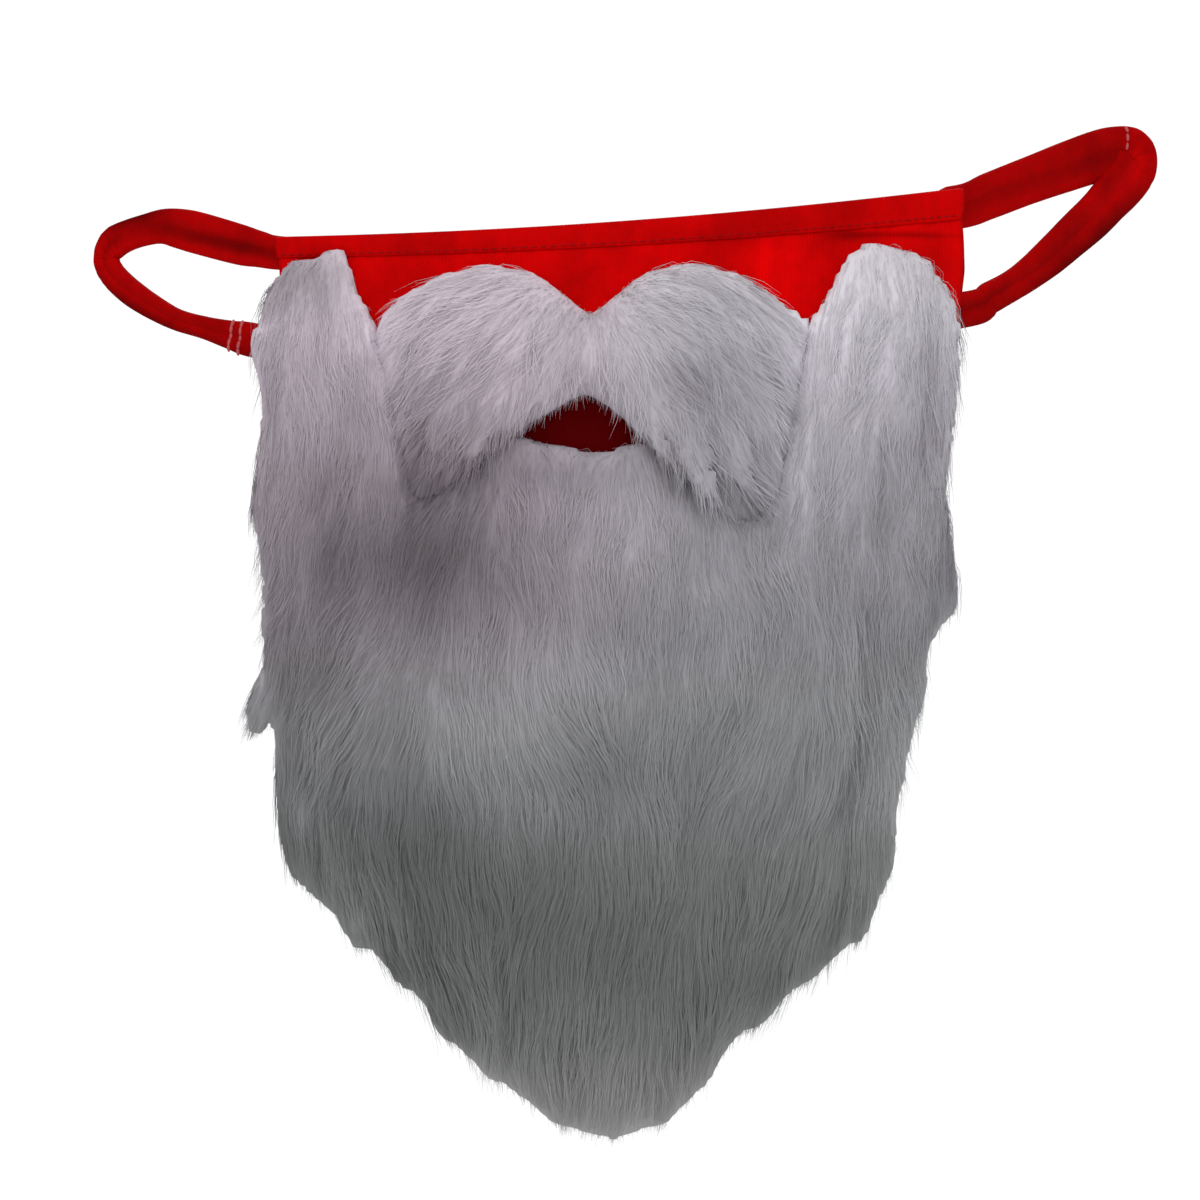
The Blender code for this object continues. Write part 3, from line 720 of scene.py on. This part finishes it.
pile = {
    "voxel": 0.0026,
    "smoothTurns": 4,
    "swell": 0.0017,              # given back to the edges that smoothing draws in
    "seamSwell": 0.0024,          # and more where the moustache meets the beard
    "sinkFrom": 0.0009,           # from this height off the cloth the pile's skin is drawn in,
    "sinkShare": 0.80,            # to this share of the height above it
    # x, z, reach, and how far to the right and up the fur's outline moves there
    "moves": (
        (-0.0865, 0.003, 0.009, 0.0, 0.0036), (-0.104, -0.001, 0.009, -0.0008, 0.0026),
        (-0.114, -0.024, 0.012, -0.0044, 0.0), (0.0, -0.0125, 0.009, 0.0, -0.0034),
        (0.096, 0.008, 0.010, -0.0012, 0.0032), (0.075, -0.021, 0.007, 0.0, 0.0028),
        (0.115, -0.155, 0.016, -0.0052, 0.0), (0.108, -0.187, 0.014, -0.0034, 0.0),
        (0.087, -0.232, 0.014, 0.0030, -0.0024), (-0.117, -0.063, 0.018, 0.0028, 0.0),
        (0.124, -0.115, 0.012, 0.0022, 0.0), (-0.060, -0.250, 0.017, 0.0022, 0.0024),
        (0.053, -0.267, 0.017, -0.0022, 0.0024), (-0.096, -0.207, 0.016, -0.0024, -0.0016),
        (0.096, -0.213, 0.017, 0.0028, -0.0016), (-0.121, -0.158, 0.008, 0.0036, 0.0020),
        (0.010, -0.295, 0.030, 0.0, -0.0024),
    ),
}


def moved(x, z):
    # the fur's outline brought closer to the real one, here and there
    outX, upZ = np.zeros_like(x), np.zeros_like(z)
    for atX, atZ, reach, moveX, moveZ in pile["moves"]:
        near = np.exp(-((x - atX) ** 2 + (z - atZ) ** 2) / reach ** 2)
        outX += near * moveX
        upZ += near * moveZ
    return x + outX, z + upZ


def dropCrumbs(mesh):
    # the even mesh can hold loose crumbs beside its one large shell
    work = bmesh.new()
    work.from_mesh(mesh)
    shells, seen = [], set()
    for vertex in work.verts:
        if vertex.index in seen:
            continue
        seen.add(vertex.index)
        shell, fresh = [vertex], [vertex]
        while fresh:
            for edge in fresh.pop().link_edges:
                for other in edge.verts:
                    if other.index not in seen:
                        seen.add(other.index)
                        shell.append(other)
                        fresh.append(other)
        shells.append(shell)
    largest = max(shells, key=len)
    crumbs = [vertex for shell in shells if shell is not largest for vertex in shell]
    bmesh.ops.delete(work, geom=crumbs, context="VERTS")
    work.to_mesh(mesh)
    work.free()
    print(mesh.name, "lost", len(crumbs), "crumb points")


def pileSkin(nodeName, name, material):
    # a smooth copy of a fur solid, drawn in towards the cloth, that the hair grows from
    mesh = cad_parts[nodeName].data.copy()
    work = bmesh.new()
    work.from_mesh(mesh)
    bmesh.ops.remove_doubles(work, verts=work.verts, dist=0.00001)
    work.to_mesh(mesh)
    work.free()
    skin = newObject(name, mesh)
    remesh = skin.modifiers.new("evenMesh", "REMESH")
    remesh.mode = "VOXEL"
    remesh.voxel_size = pile["voxel"]
    soften = skin.modifiers.new("soften", "SMOOTH")
    soften.iterations = pile["smoothTurns"]
    soften.factor = 0.5
    mesh = settled(skin).data
    dropCrumbs(mesh)
    places, normals = placesOf(mesh), normalsOf(mesh)
    swell = np.full(len(places), pile["swell"])
    if nodeName == "moustache_fur":
        x, _, z = places.T
        outward = (normals * faceNormal(x, z)).sum(1)
        # none on the moustache's back, which would come through the cloth
        rim = shareFrom(outward, 0.92, 0.3) * shareFrom(-0.5, outward, 0.5)
        mouth = np.exp(-((x - mouthX) / 0.026) ** 4)
        swell += pile["seamSwell"] * rim * shareFrom(z, -0.016, 0.008) * (1 - mouth)
    places = places + normals * swell[:, None]
    places[:, 0], places[:, 2] = moved(places[:, 0], places[:, 2])
    x, _, z = places.T
    normal = faceNormal(x, z)
    height = ((places - facePoint(x, z, face["wall"])) * normal).sum(1)
    low = pile["sinkFrom"]
    sunk = np.minimum(height, low + np.maximum(height - low, 0) * pile["sinkShare"])
    places += normal * (sunk - height)[:, None]
    mesh.vertices.foreach_set("co", places.ravel())
    mesh.materials.clear()
    mesh.materials.append(material)
    mesh.shade_smooth()
    mesh.update()
    return skin


def plan(nodeName, cell=0.001, margin=0.02, samples=24):
    # the solid's outline as seen from the front, as a grid of true and false
    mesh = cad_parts[nodeName].data
    mesh.calc_loop_triangles()
    corners = np.array([[mesh.vertices[v].co[:] for v in t.vertices] for t in mesh.loop_triangles])
    low = corners.reshape(-1, 3).min(0) - margin
    high = corners.reshape(-1, 3).max(0) + margin
    grid = np.zeros([int((high[k] - low[k]) / cell) for k in (0, 2)], bool)
    corners[..., 0], corners[..., 2] = moved(corners[..., 0], corners[..., 2])
    steps = np.linspace(0, 1, samples)
    for a in steps:
        for b in steps:
            if a + b <= 1:
                p = corners[:, 0] * (1 - a - b) + corners[:, 1] * a + corners[:, 2] * b
                i, j = (((p[:, k] - low[k]) / cell).astype(int) for k in (0, 2))
                grid[i, j] = True
    return {"grid": grid, "low": low, "cell": cell}


def readPlan(outline, grid, x, z):
    # the grid's values at these places, and whether each place lies on the grid
    low, cell = outline["low"], outline["cell"]
    i, j = ((x - low[0]) / cell).astype(int), ((z - low[2]) / cell).astype(int)
    heldI, heldJ = np.clip(i, 0, grid.shape[0] - 1), np.clip(j, 0, grid.shape[1] - 1)
    return grid[heldI, heldJ], (heldI == i) & (heldJ == j)


def roomAhead(outline, x, z, combX, combZ, farthest=0.06):
    # how far a hair can run along its comb before it leaves the fur's outline
    room = np.full_like(x, farthest)
    going = np.ones_like(x, bool)
    for step in np.arange(0.001, farthest, 0.0015):
        filled, fits = readPlan(outline, outline["grid"], x + combX * step, z + combZ * step)
        left = going & ~(filled & fits)
        room[left] = step
        going &= ~left
    return room


def insideDepth(outline, x, z, farthest=14):
    # how deep a place lies inside the fur's outline, in cells of its plan
    left = outline["grid"].copy()
    depth = np.zeros(left.shape)
    for _ in range(farthest):
        depth += left
        inner = left.copy()
        inner[1:] &= left[:-1]
        inner[:-1] &= left[1:]
        inner[:, 1:] &= left[:, :-1]
        inner[:, :-1] &= left[:, 1:]
        left = inner
    return readPlan(outline, depth, x, z)[0]


mouthX = -0.002                   # the middle of the mouth opening

# x, z, width, height, turn: where the beard's hair is swept off the straight way down,
# with the turn in radians towards +X
beardSweeps = (
    (-0.114, -0.150, 0.009, 0.014, -0.42), (-0.060, -0.085, 0.030, 0.030, -0.45),
    (0.075, -0.075, 0.030, 0.040, -0.30), (0.045, -0.100, 0.025, 0.025, 0.35),
    (-0.085, -0.140, 0.025, 0.030, -0.35), (-0.030, -0.150, 0.030, 0.025, 0.30),
    (0.065, -0.160, 0.030, 0.030, -0.32), (-0.095, -0.035, 0.020, 0.035, 0.10),
    (0.100, -0.030, 0.022, 0.040, -0.16), (0.000, -0.205, 0.030, 0.025, -0.18),
    (-0.055, -0.215, 0.030, 0.030, 0.28), (0.055, -0.225, 0.030, 0.035, -0.26),
)


def beardComb(x, z):
    turn = addSpots(np.zeros_like(x), beardSweeps, x, z)
    turn -= 0.22 * shareFrom(0.17, -z, 0.10) * np.clip(x / 0.09, -1, 1)
    turn += 0.12 * np.sin(x * 55 + z * 31) + 0.07 * np.sin(x * 140 - z * 60 + 1.0)
    return np.sin(turn), -np.cos(turn)


def moustacheComb(x, z):
    # parted at the bridge, combed out over each wing, then falling
    side = np.where(x < 0, -1.0, 1.0)
    outX, outZ = x + side * 0.004, z + 0.002
    far = np.hypot(outX, outZ)
    fall = 0.16 + far / np.where(x < 0, 0.100, 0.080)
    combX, combZ = outX / far, outZ / far - fall
    combX += 0.10 * np.sin(x * 160 + z * 90)
    size = np.hypot(combX, combZ)
    return combX / size, combZ / size


def combSkin(skin, comb, nodeName, lengthAt, overhangAt, patches):
    # writes how the hair grows from the skin: its way, length, thickness of growth and patch
    places, normals = placesOf(skin.data), normalsOf(skin.data)
    x, _, z = places.T
    combX, combZ = comb(x, z)
    outline = plan(nodeName)
    room = roomAhead(outline, x, z, combX, combZ)
    step = 0.001
    slope = (faceDepth(x + combX * step, z + combZ * step) - faceDepth(x, z)) / step
    way = unitRows(np.stack([combX, slope, combZ], -1))
    front = faceNormal(x, z)
    into = (way * normals).sum(1, keepdims=True)
    start = way - normals * into + front * np.clip(-into, 0, 1) * 0.7 + normals * 0.3
    outward = (normals * front).sum(1)
    across = np.where(x < 0, x / panelSide(-1, 0.5), x / panelSide(1, 0.5))
    bare = (z < hemHeight(across) + 0.004) | (np.abs(across) > 1.03)
    growth = shareFrom(-0.25, outward, 0.35)
    # short fuzz stands on the rounded rims and in the fluffy upper fur, where it is seen
    rim = shareFrom(outward, 0.9, 0.4) * (outward > -0.6)
    upper = shareFrom(-0.17, z, 0.12)
    seen = bare | (outward > -0.2)
    for name, values in (
        ("combWay", way),
        ("startWay", unitRows(start)),
        ("hairLength", np.minimum(lengthAt(x, z), room + overhangAt(x, z))),
        ("growth", np.maximum(growth, np.where(bare, 0.45, 0.0))),
        ("calm", np.clip(insideDepth(outline, x, z) / 11, 0.2, 1)),
        ("fluff", np.clip(1.25 + z / 0.22, 0.35, 1.2)),
        ("startShare", 0.25 + 0.35 * np.clip(-into[:, 0], 0, 1)),
        ("fuzzGrowth", np.maximum(rim * 0.9, 0.20 + 0.30 * upper) * seen),
        ("patch", patches(x, z).astype(float)),
    ):
        writeAttribute(skin.data, name, values)
    return skin


furTones = {
    # height up the fur in millimetres from the bridge, and the colour there: painted shade, the
    # white fur greyer towards the bottom, away from the light above
    "ramp": (
        (-297, (126, 126, 126)), (-279, (122, 122, 122)), (-262, (109, 110, 110)),
        (-243, (101, 103, 102)), (-218, (102, 104, 103)), (-203, (106, 107, 107)),
        (-181, (120, 121, 122)), (-156, (129, 130, 132)), (-122, (136, 135, 139)),
        (-87, (151, 148, 154)), (-50, (167, 163, 170)), (-19, (185, 181, 188)),
        (10, (188, 184, 190)),
    ),
    # painted light: the ramp's colours raised more at the tip, where the lamps light the fur less
    "gain": (1.60, 1.13),         # at the tip and at the bridge
    "leftBlush": (1.06, 0.97, 1.0),
    # x, z, width, height in millimetres and the change there: painted shade and painted light, such
    # as the shadow under the moustache's left wing and the light on the chin
    "patches": (
        (-55, -96, 35, 25, -0.57), (-20, -70, 55, 11, -0.22), (-91, -105, 16, 30, -0.16),
        (94, -45, 30, 45, 0.22), (3, -86, 25, 16, 0.12), (3, -139, 45, 14, 0.20),
        (-31, -165, 22, 24, 0.24), (-65, -192, 26, 16, -0.22), (86, -202, 42, 50, 0.40),
        (17, -177, 30, 12, -0.08), (-91, -139, 12, 12, -0.14), (-48, -216, 36, 30, -0.12),
        (38, -40, 20, 15, -0.20), (-65, -52, 26, 18, -0.18), (-5, -189, 18, 8, 0.12),
        (-98, -187, 3, 5, 0.5), (-79, -225, 3, 6, 0.45), (108, -184, 3, 5, 0.35),
        (0, -150, 150, 40, -0.07), (-35, -62, 30, 10, -0.10), (30, -68, 22, 9, -0.12),
        (-22, -134, 42, 16, 0.06), (-102, -2, 18, 12, -0.44), (-82, -215, 12, 30, 0.18),
        (-68, -49, 4, 30, 0.24), (67, -52, 4, 32, 0.24),
    ),
    # painted highlights on the ridges along the lower edge of each wing of the moustache
    "ridgeHighlights": (
        (-22, -46, 18, 8, 0.16), (-48, -66, 16, 9, 0.16), (20, -52, 12, 12, 0.14),
        (40, -72, 12, 12, 0.12), (-34, -2, 30, 9, 0.05), (34, -2, 30, 9, 0.05),
    ),
    # a lighter line along the arc of the cloth's hem: lowest point, spread and strength
    "hemLine": {"x": -2, "z": -254.5, "spread": 100, "thick": 0.8,
                "middle": 6, "half": 36, "change": 0.22},
    "cloud": 0.30,
    "hairShade": 0.15,
    "tipShade": 0.08,
}


def toneFur(piece):
    # how light the fur is at each place, from its painted shade and light, next to its colour at
    # that height
    x, _, z = placesOf(piece.data).T
    x, z = x * 1000, z * 1000
    ridgeHighlights = furTones["ridgeHighlights"] if "moustache" in piece.name else ()
    tone = addSpots(np.ones_like(x), (*furTones["patches"], *ridgeHighlights), x, z)
    hem = furTones["hemLine"]
    offLine = (z - hem["z"] - (x - hem["x"]) ** 2 / hem["spread"]) / hem["thick"]
    tone += hem["change"] * np.exp(-offLine ** 2 - ((x - hem["middle"]) / hem["half"]) ** 4)
    writeAttribute(piece.data, "furTone", tone)
    if "hairChance" not in piece.data.attributes:
        # the pile between the hairs is as light as they are
        writeAttribute(piece.data, "hairChance", np.full_like(x, 0.5))
        writeAttribute(piece.data, "hairAlong", np.full_like(x, 0.4))


def furMaterial(name):
    # white pile with painted shade, greyer downwards: broad painted shade and light over the beard,
    # and a shade of its own for each hair
    material, graph = newMaterial(name)
    place = graph.place()
    x = place.part("X")
    z = x.of("Z")
    rows = furTones["ramp"]
    low, high = rows[0][0], rows[-1][0]
    share = (z * 1000.0 - low) / (high - low)
    colour = graph.add("ShaderNodeValToRGB", {"Fac": share}, "Color")
    elements = colour.socket.node.color_ramp.elements
    while len(elements) < len(rows):
        elements.new(0.5)
    tipGain, bridgeGain = furTones["gain"]
    for element, (height, seen) in zip(elements, rows):
        element.position = (height - low) / (high - low)
        gain = tipGain + (bridgeGain - tipGain) * (height - low) / (high - low)
        element.color = (*(v * gain for v in linear(*seen)), 1.0)
    cloud = graph.noise(place, 42.0, 3.0, 0.55)
    chance, along = graph.attribute("hairChance"), graph.attribute("hairAlong")
    tone = graph.attribute("furTone") * (1.0 + (cloud - 0.5) * furTones["cloud"])
    hairTone = (chance - 0.5) * furTones["hairShade"] + 1.0 + (along - 0.5) * furTones["tipShade"]
    blush = x.ramp(0.045, -0.035) * z.ramp(-0.185, -0.10)
    tinted = colour.vectors("MULTIPLY", furTones["leftBlush"])
    colour = graph.mixColour(blush, colour, tinted)
    finishMaterial(graph, colour.scaled(tone * hairTone), 0.75, 0.12)
    return material


# hairs in a square metre, and how much a hair is shaded like the fur's surface
hair = {"beard": 400000.0, "moustache": 540000.0, "fuzz": 330000.0, "surfaceShade": 0.93}

# each input of the hair's node group with its kind and what most of the hair uses
hairInputs = {
    "Growth": ("String", "growth"), "Length": ("Float", 1.0), "Stand": ("Float", 0.0),
    "Density": ("Float", hair["beard"]), "Width": ("Float", 0.00021), "Rise": ("Float", 0.0021),
    "Lock Size": ("Float", 0.015), "Lock Pull": ("Float", 0.30),
    "Tuft Size": ("Float", 0.0042), "Tuft Pull": ("Float", 0.36), "Lean": ("Float", 0.42),
    "Wave": ("Float", 0.0016), "Wave Length": ("Float", 0.034), "Frizz": ("Float", 0.0034),
    "Patch": ("Float", 0.0), "Points": ("Int", 4), "Seed": ("Int", 0),
    "Material": ("Material", None),
}

# what steers the hair while it grows, and what the hair keeps after
growthMarks = ("combWay", "startWay", "hairLength", "growth", "calm", "fluff", "startShare",
               "fuzzGrowth", "patch")
hairMarks = ("root", "outward", "chanceA", "chanceB", "chanceC")


def hairTree():
    # hairs on a skin: grown in tufts and locks, laid along the comb, tapering to their tips
    graph, sockets, skin = newGroup("growHair", [(k, kind) for k, (kind, _) in hairInputs.items()])

    def named(name, kind="FLOAT"):
        return graph.add("GeometryNodeInputNamedAttribute", {
            "Name": name,
        }, "Attribute", data_type=kind)

    def stored(geometry, name, value, kind="FLOAT"):
        return graph.add("GeometryNodeStoreNamedAttribute", {
            "Geometry": geometry, "Name": name, "Value": value,
        }, "Geometry", data_type=kind, domain="POINT")

    onPatch = (named("patch") - skin.of("Patch")).sums("ABSOLUTE").sums("LESS_THAN", 0.5)
    density = skin.of("Density") * named(skin.of("Growth"))
    points = graph.add("GeometryNodeDistributePointsOnFaces", {
        "Mesh": skin, "Selection": onPatch, "Density": density, "Seed": skin.of("Seed"),
    }, "Points", distribute_method="RANDOM")
    grown = stored(points, "root", graph.add("GeometryNodeInputPosition"), "FLOAT_VECTOR")
    grown = stored(grown, "outward", points.of("Normal"), "FLOAT_VECTOR")
    for mark, seed in (("chanceA", 3), ("chanceB", 7), ("chanceC", 11)):
        chance = graph.add("FunctionNodeRandomValue", {
            "Min": 0.0, "Max": 1.0, "Seed": seed,
        }, "Value", data_type="FLOAT")
        grown = stored(grown, mark, chance)
    hairs = graph.copies(grown, graph.line((0, 0, 0), (0, 0, 0.001), skin.of("Points")))

    t = graph.add("GeometryNodeSplineParameter", None, "Factor")
    root, outward = named("root", "FLOAT_VECTOR"), named("outward", "FLOAT_VECTOR")
    way, start = named("combWay", "FLOAT_VECTOR"), named("startWay", "FLOAT_VECTOR")
    a, b, c = named("chanceA"), named("chanceB"), named("chanceC")
    side = way.cross(outward).unit()
    calm, fluff, stand = named("calm"), named("fluff"), skin.of("Stand")
    length = named("hairLength") * (a * 0.44 + 0.6) * skin.of("Length")
    length = length * (1.0 - stand * (1.0 - calm) * 0.6)
    short = length.ramp(0.004, 0.026, 0.25, 1.0)
    rise = skin.of("Rise") * short * calm * (b * 0.9 + 0.35)
    startShare = named("startShare") + stand * 0.3
    bend = (1.0 - (1.0 - t) ** (1.0 / startShare)) * startShare
    start = start.scaled(1.0 - stand).plus(outward.scaled(stand)).unit()
    place = root.plus(start.scaled(length * bend)).plus(way.scaled(length * (t - bend)))
    place = place.plus(outward.scaled(rise * (1.0 - (1.0 - t) ** 2.2) - 0.0012))

    def gathered(what, power):
        # how far a hair is drawn to the middle of its lock or tuft, and that one's chances
        cell = graph.add("ShaderNodeTexVoronoi", {
            "Vector": root, "Scale": 1.0 / skin.of(what + " Size"), "Randomness": 1.0,
        }, "Position", voronoi_dimensions="3D", feature="F1")
        to = cell.less(root)
        to = to.less(outward.scaled(to.dot(outward)))
        own = cell.of("Color").part("X")
        to = to.scaled(skin.of(what + " Pull") * short * t ** power)
        return to, own, own.of("Y"), own.of("Z")

    toLock, lockLean, lockShade, lockLift = gathered("Lock", 1.5)
    toTuft, tuftLean, tuftShade, _ = gathered("Tuft", 1.1)
    place = place.plus(toLock).plus(toTuft)
    lean = (lockLean - 0.5) * 1.2 + (tuftLean - 0.5) * 0.9 + (c - 0.5) * 0.5
    lean = lean * skin.of("Lean") * calm * fluff
    place = place.plus(side.scaled(lean * length * t ** 1.4))
    place = place.plus(outward.scaled((lockLift - 0.35) * skin.of("Rise") * 0.9 * short * calm * t))
    swing = place.part("Z") * 6.2832 / skin.of("Wave Length") + graph.noise(root, 26.0) * 14.0
    place = place.plus(side.scaled(swing.sums("SINE") * skin.of("Wave") * short * t))
    fuzz = graph.noise(place, 340.0, output="Color").less((0.5, 0.5, 0.5))
    place = place.plus(fuzz.scaled(skin.of("Frizz") * 2.0 * short * fluff * t))
    hairs = graph.add("GeometryNodeSetPosition", {"Geometry": hairs, "Position": place}, "Geometry")
    hairs = stored(hairs, "hairAlong", t)
    hairs = stored(hairs, "hairChance", lockShade * 0.4 + tuftShade * 0.3 + a * 0.3)
    taper = (1.0 - t * t * 0.86) * (b * 0.5 + 0.7)
    graph.give(graph.round(hairs, 3, taper * skin.of("Width")), skin.of("Material"))
    return graph.tree, sockets


def softenNormals(mesh):
    # hairs take most of their shading from the fur's surface, as soft thin fibres do
    share = hair["surfaceShade"]
    surface = vectorsOf(mesh.attributes["outward"].data, "vector").astype(np.float32)
    mixed = surface * share + normalsOf(mesh).astype(np.float32) * (1 - share)
    mixed /= np.maximum(np.linalg.norm(mixed, axis=1, keepdims=True), 1e-6)
    mesh.normals_split_custom_set_from_vertices(mixed)


def liftOffCloth(mesh):
    # no hair reaches into the cloth or through to its back
    reach, clear = 0.002, 0.0008
    places = placesOf(mesh)
    x, _, z = places.T
    normal = faceNormal(x, z)
    height = ((places - facePoint(x, z, 0.0)) * normal).sum(1)
    down = np.clip((browHeight(x) - z) / face["panelDrop"], 0, 1)
    half = np.where(x < 0, panelSide(-1, down), panelSide(1, down))
    over = (np.abs(x) < half + reach) & (z > hemHeight(x / half) - reach)
    lift = np.where(over, np.maximum(face["wall"] + clear - height, 0), 0)
    places += normal * lift[:, None]
    mesh.vertices.foreach_set("co", places.ravel())
    mesh.update()


def dropMarks(mesh, names):
    for name in names:
        if name in mesh.attributes:
            mesh.attributes.remove(mesh.attributes[name])


def growHair(name, skin, **changes):
    values = {label: value for label, (_, value) in hairInputs.items()}
    values.update({label.replace("_", " "): value for label, value in changes.items()})
    values["Material"] = skin.data.materials[0]
    grown = grow(newObject(name, skin.data.copy()), hairGroup, values)
    liftOffCloth(grown.data)
    softenNormals(grown.data)
    dropMarks(grown.data, growthMarks + hairMarks)
    toneFur(grown)
    grown.data.calc_loop_triangles()
    print(name, len(grown.data.loop_triangles), "triangles")
    return grown


# how long the hair is, and how far it may reach past the fur's outline
hairReach = {
    "beardTop": 0.013, "beardMore": 0.015, "beardTipMore": 0.012, "beardOver": 0.0016,
    "moustache": 0.021, "moustacheOver": 0.0008, "wingOver": 0.010,
}


def beardLength(x, z):
    below = hairReach["beardMore"] * shareFrom(z, 0.012, 0.03)
    return hairReach["beardTop"] + below + hairReach["beardTipMore"] * shareFrom(0.10, -z, 0.12)


def moustacheLength(x, z):
    return np.full_like(x, hairReach["moustache"])


def beardOverhang(x, z):
    return np.full_like(x, hairReach["beardOver"])


def moustacheOverhang(x, z):
    # the wings' lower edges fall over the beard, and barely over the mouth opening
    low = shareFrom(z, -0.014, 0.02)
    mouth = np.exp(-((x - mouthX) / 0.020) ** 4)
    ends = shareFrom(0.052, np.abs(x), 0.012) * shareFrom(z, -0.020, 0.008)
    wing = np.maximum(low * (1 - 0.8 * mouth), ends * 0.9)
    return hairReach["moustacheOver"] + hairReach["wingOver"] * wing


def beardPatch(x, z):
    # five patches with about as much hair in each
    return np.digitize(-z, (0.062, 0.108, 0.156, 0.206))


beardSkin = combSkin(pileSkin("beard_fur", "beardPile", furMaterial("greyFur")),
                     beardComb, "beard_fur", beardLength, beardOverhang, beardPatch)
moustacheSkin = combSkin(pileSkin("moustache_fur", "moustachePile", furMaterial("paleFur")),
                         moustacheComb, "moustache_fur", moustacheLength, moustacheOverhang,
                         lambda x, z: np.zeros_like(x))
print("pile skins", len(beardSkin.data.polygons), len(moustacheSkin.data.polygons))

hairGroup = hairTree()
fuzz = {"Growth": "fuzzGrowth", "Length": 0.30, "Stand": 0.6, "Points": 3,
        "Tuft_Pull": 0.1, "Lock_Pull": 0.0, "Lean": 0.9,
        "Width": hairInputs["Width"][1] * 0.85}
hairPieces = [
    growHair(f"beardHair{patch + 1}", beardSkin, Patch=float(patch), Seed=20 + patch)
    for patch in range(5)
]
hairPieces.append(growHair(
    "moustacheHair", moustacheSkin, Density=hair["moustache"], Seed=9, Lock_Size=0.010,
    Rise=0.0024, Wave=0.0004, Frizz=0.0042, Lean=0.62, Tuft_Pull=0.24))
hairPieces.append(growHair(
    "moustacheFuzz", moustacheSkin, **fuzz, Density=hair["fuzz"] * 1.5, Seed=31))
# the fuzz covers the whole beard in one go
beardSkin.data.attributes["patch"].data.foreach_set(
    "value", np.zeros(len(beardSkin.data.vertices), np.float32))
hairPieces.append(growHair("beardFuzz", beardSkin, **fuzz, Density=hair["fuzz"], Seed=32))
for skin in (beardSkin, moustacheSkin):
    dropMarks(skin.data, growthMarks)
    toneFur(skin)
print("hair grown")

for piece, slot in (
    (panelPiece, "red_cloth"), (tapePiece, "red_tape"), (leftStrap, "red_strap"),
    (rightStrap, "red_strap"), (beardSkin, "grey_fur"), (moustacheSkin, "pale_fur"),
    (seamStitches, "red_tape"), (leftTacks, "red_strap"), (rightTacks, "red_strap"),
):
    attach(piece, "root")
for piece in hairPieces:
    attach(piece, "root")
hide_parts("face_panel")
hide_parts("top_tape")
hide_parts("ear_loop_left")
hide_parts("ear_loop_right")
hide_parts("beard_fur")
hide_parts("moustache_fur")

studio = {
    "floor": -0.36, "radius": 0.70, "edgeSides": 96, "floorColour": (0.93, 0.93, 0.94),
    "sky": 0.65,                  # light from all round
    "backdrop": 1.05,             # how bright it looks behind the object
    # name, place, target, size and power
    "lights": (
        ("topSoftBox", (0.15, -1.1, 1.15), (0, 0, -0.1), (1.4, 1.1), 10.0),
        ("frontFill", (-0.25, -2.1, 0.25), (0, 0, -0.12), (1.8, 1.8), 14.0),
        ("backSoftBox", (0.1, 1.6, 0.9), (0, 0, -0.1), (1.4, 1.4), 9.0),
    ),
}


def makeStage():
    material, graph = newMaterial("paleFloor")
    finishMaterial(graph, studio["floorColour"], 0.9)
    radius = studio["radius"]
    turns = np.linspace(0, 2 * np.pi, studio["edgeSides"], endpoint=False)
    points = [(radius * math.cos(t), radius * math.sin(t), studio["floor"]) for t in turns]
    meshObject("studioFloor", points, [tuple(range(len(points)))], material)


def makeLight(name, place, target, size, power):
    data = bpy.data.lights.new(name, "AREA")
    data.shape = "RECTANGLE"
    data.size, data.size_y = size
    data.energy = power
    lamp = newObject(name, data)
    lamp.location = place
    aim = Vector(target) - Vector(place)
    lamp.rotation_euler = aim.to_track_quat("-Z", "Y").to_euler()


def makeWorld():
    # white behind the object, and softer as a light
    world = bpy.data.worlds.new("studioWorld")
    world.use_nodes = True
    graph = Graph(world.node_tree)
    inPicture = graph.add("ShaderNodeLightPath", None, "Is Camera Ray")
    strength = inPicture * (studio["backdrop"] - studio["sky"]) + studio["sky"]
    graph.end("ShaderNodeOutputWorld", graph.add("ShaderNodeBackground", {
        "Color": (1.0, 1.0, 1.0, 1.0), "Strength": strength,
    }, "Background"))
    bpy.context.scene.world = world
    bpy.context.scene.view_settings.view_transform = "Standard"


def makeCamera():
    lens = bpy.data.cameras.new("photoCamera")
    lens.sensor_fit = "HORIZONTAL"
    lens.sensor_width = camera["sensor"]
    lens.lens = camera["sensor"] * camera["distance"] / camera["pictureWidth"]
    lens.clip_start = camera["clipStart"]
    eye = newObject("photoCamera", lens)
    eye.location = (camera["middleX"], -camera["distance"], camera["middleZ"])
    eye.rotation_euler = (math.radians(90), 0, 0)
    bpy.context.scene.camera = eye


makeStage()
for light in studio["lights"]:
    makeLight(*light)
makeWorld()
makeCamera()
print("stage, lights and camera set")
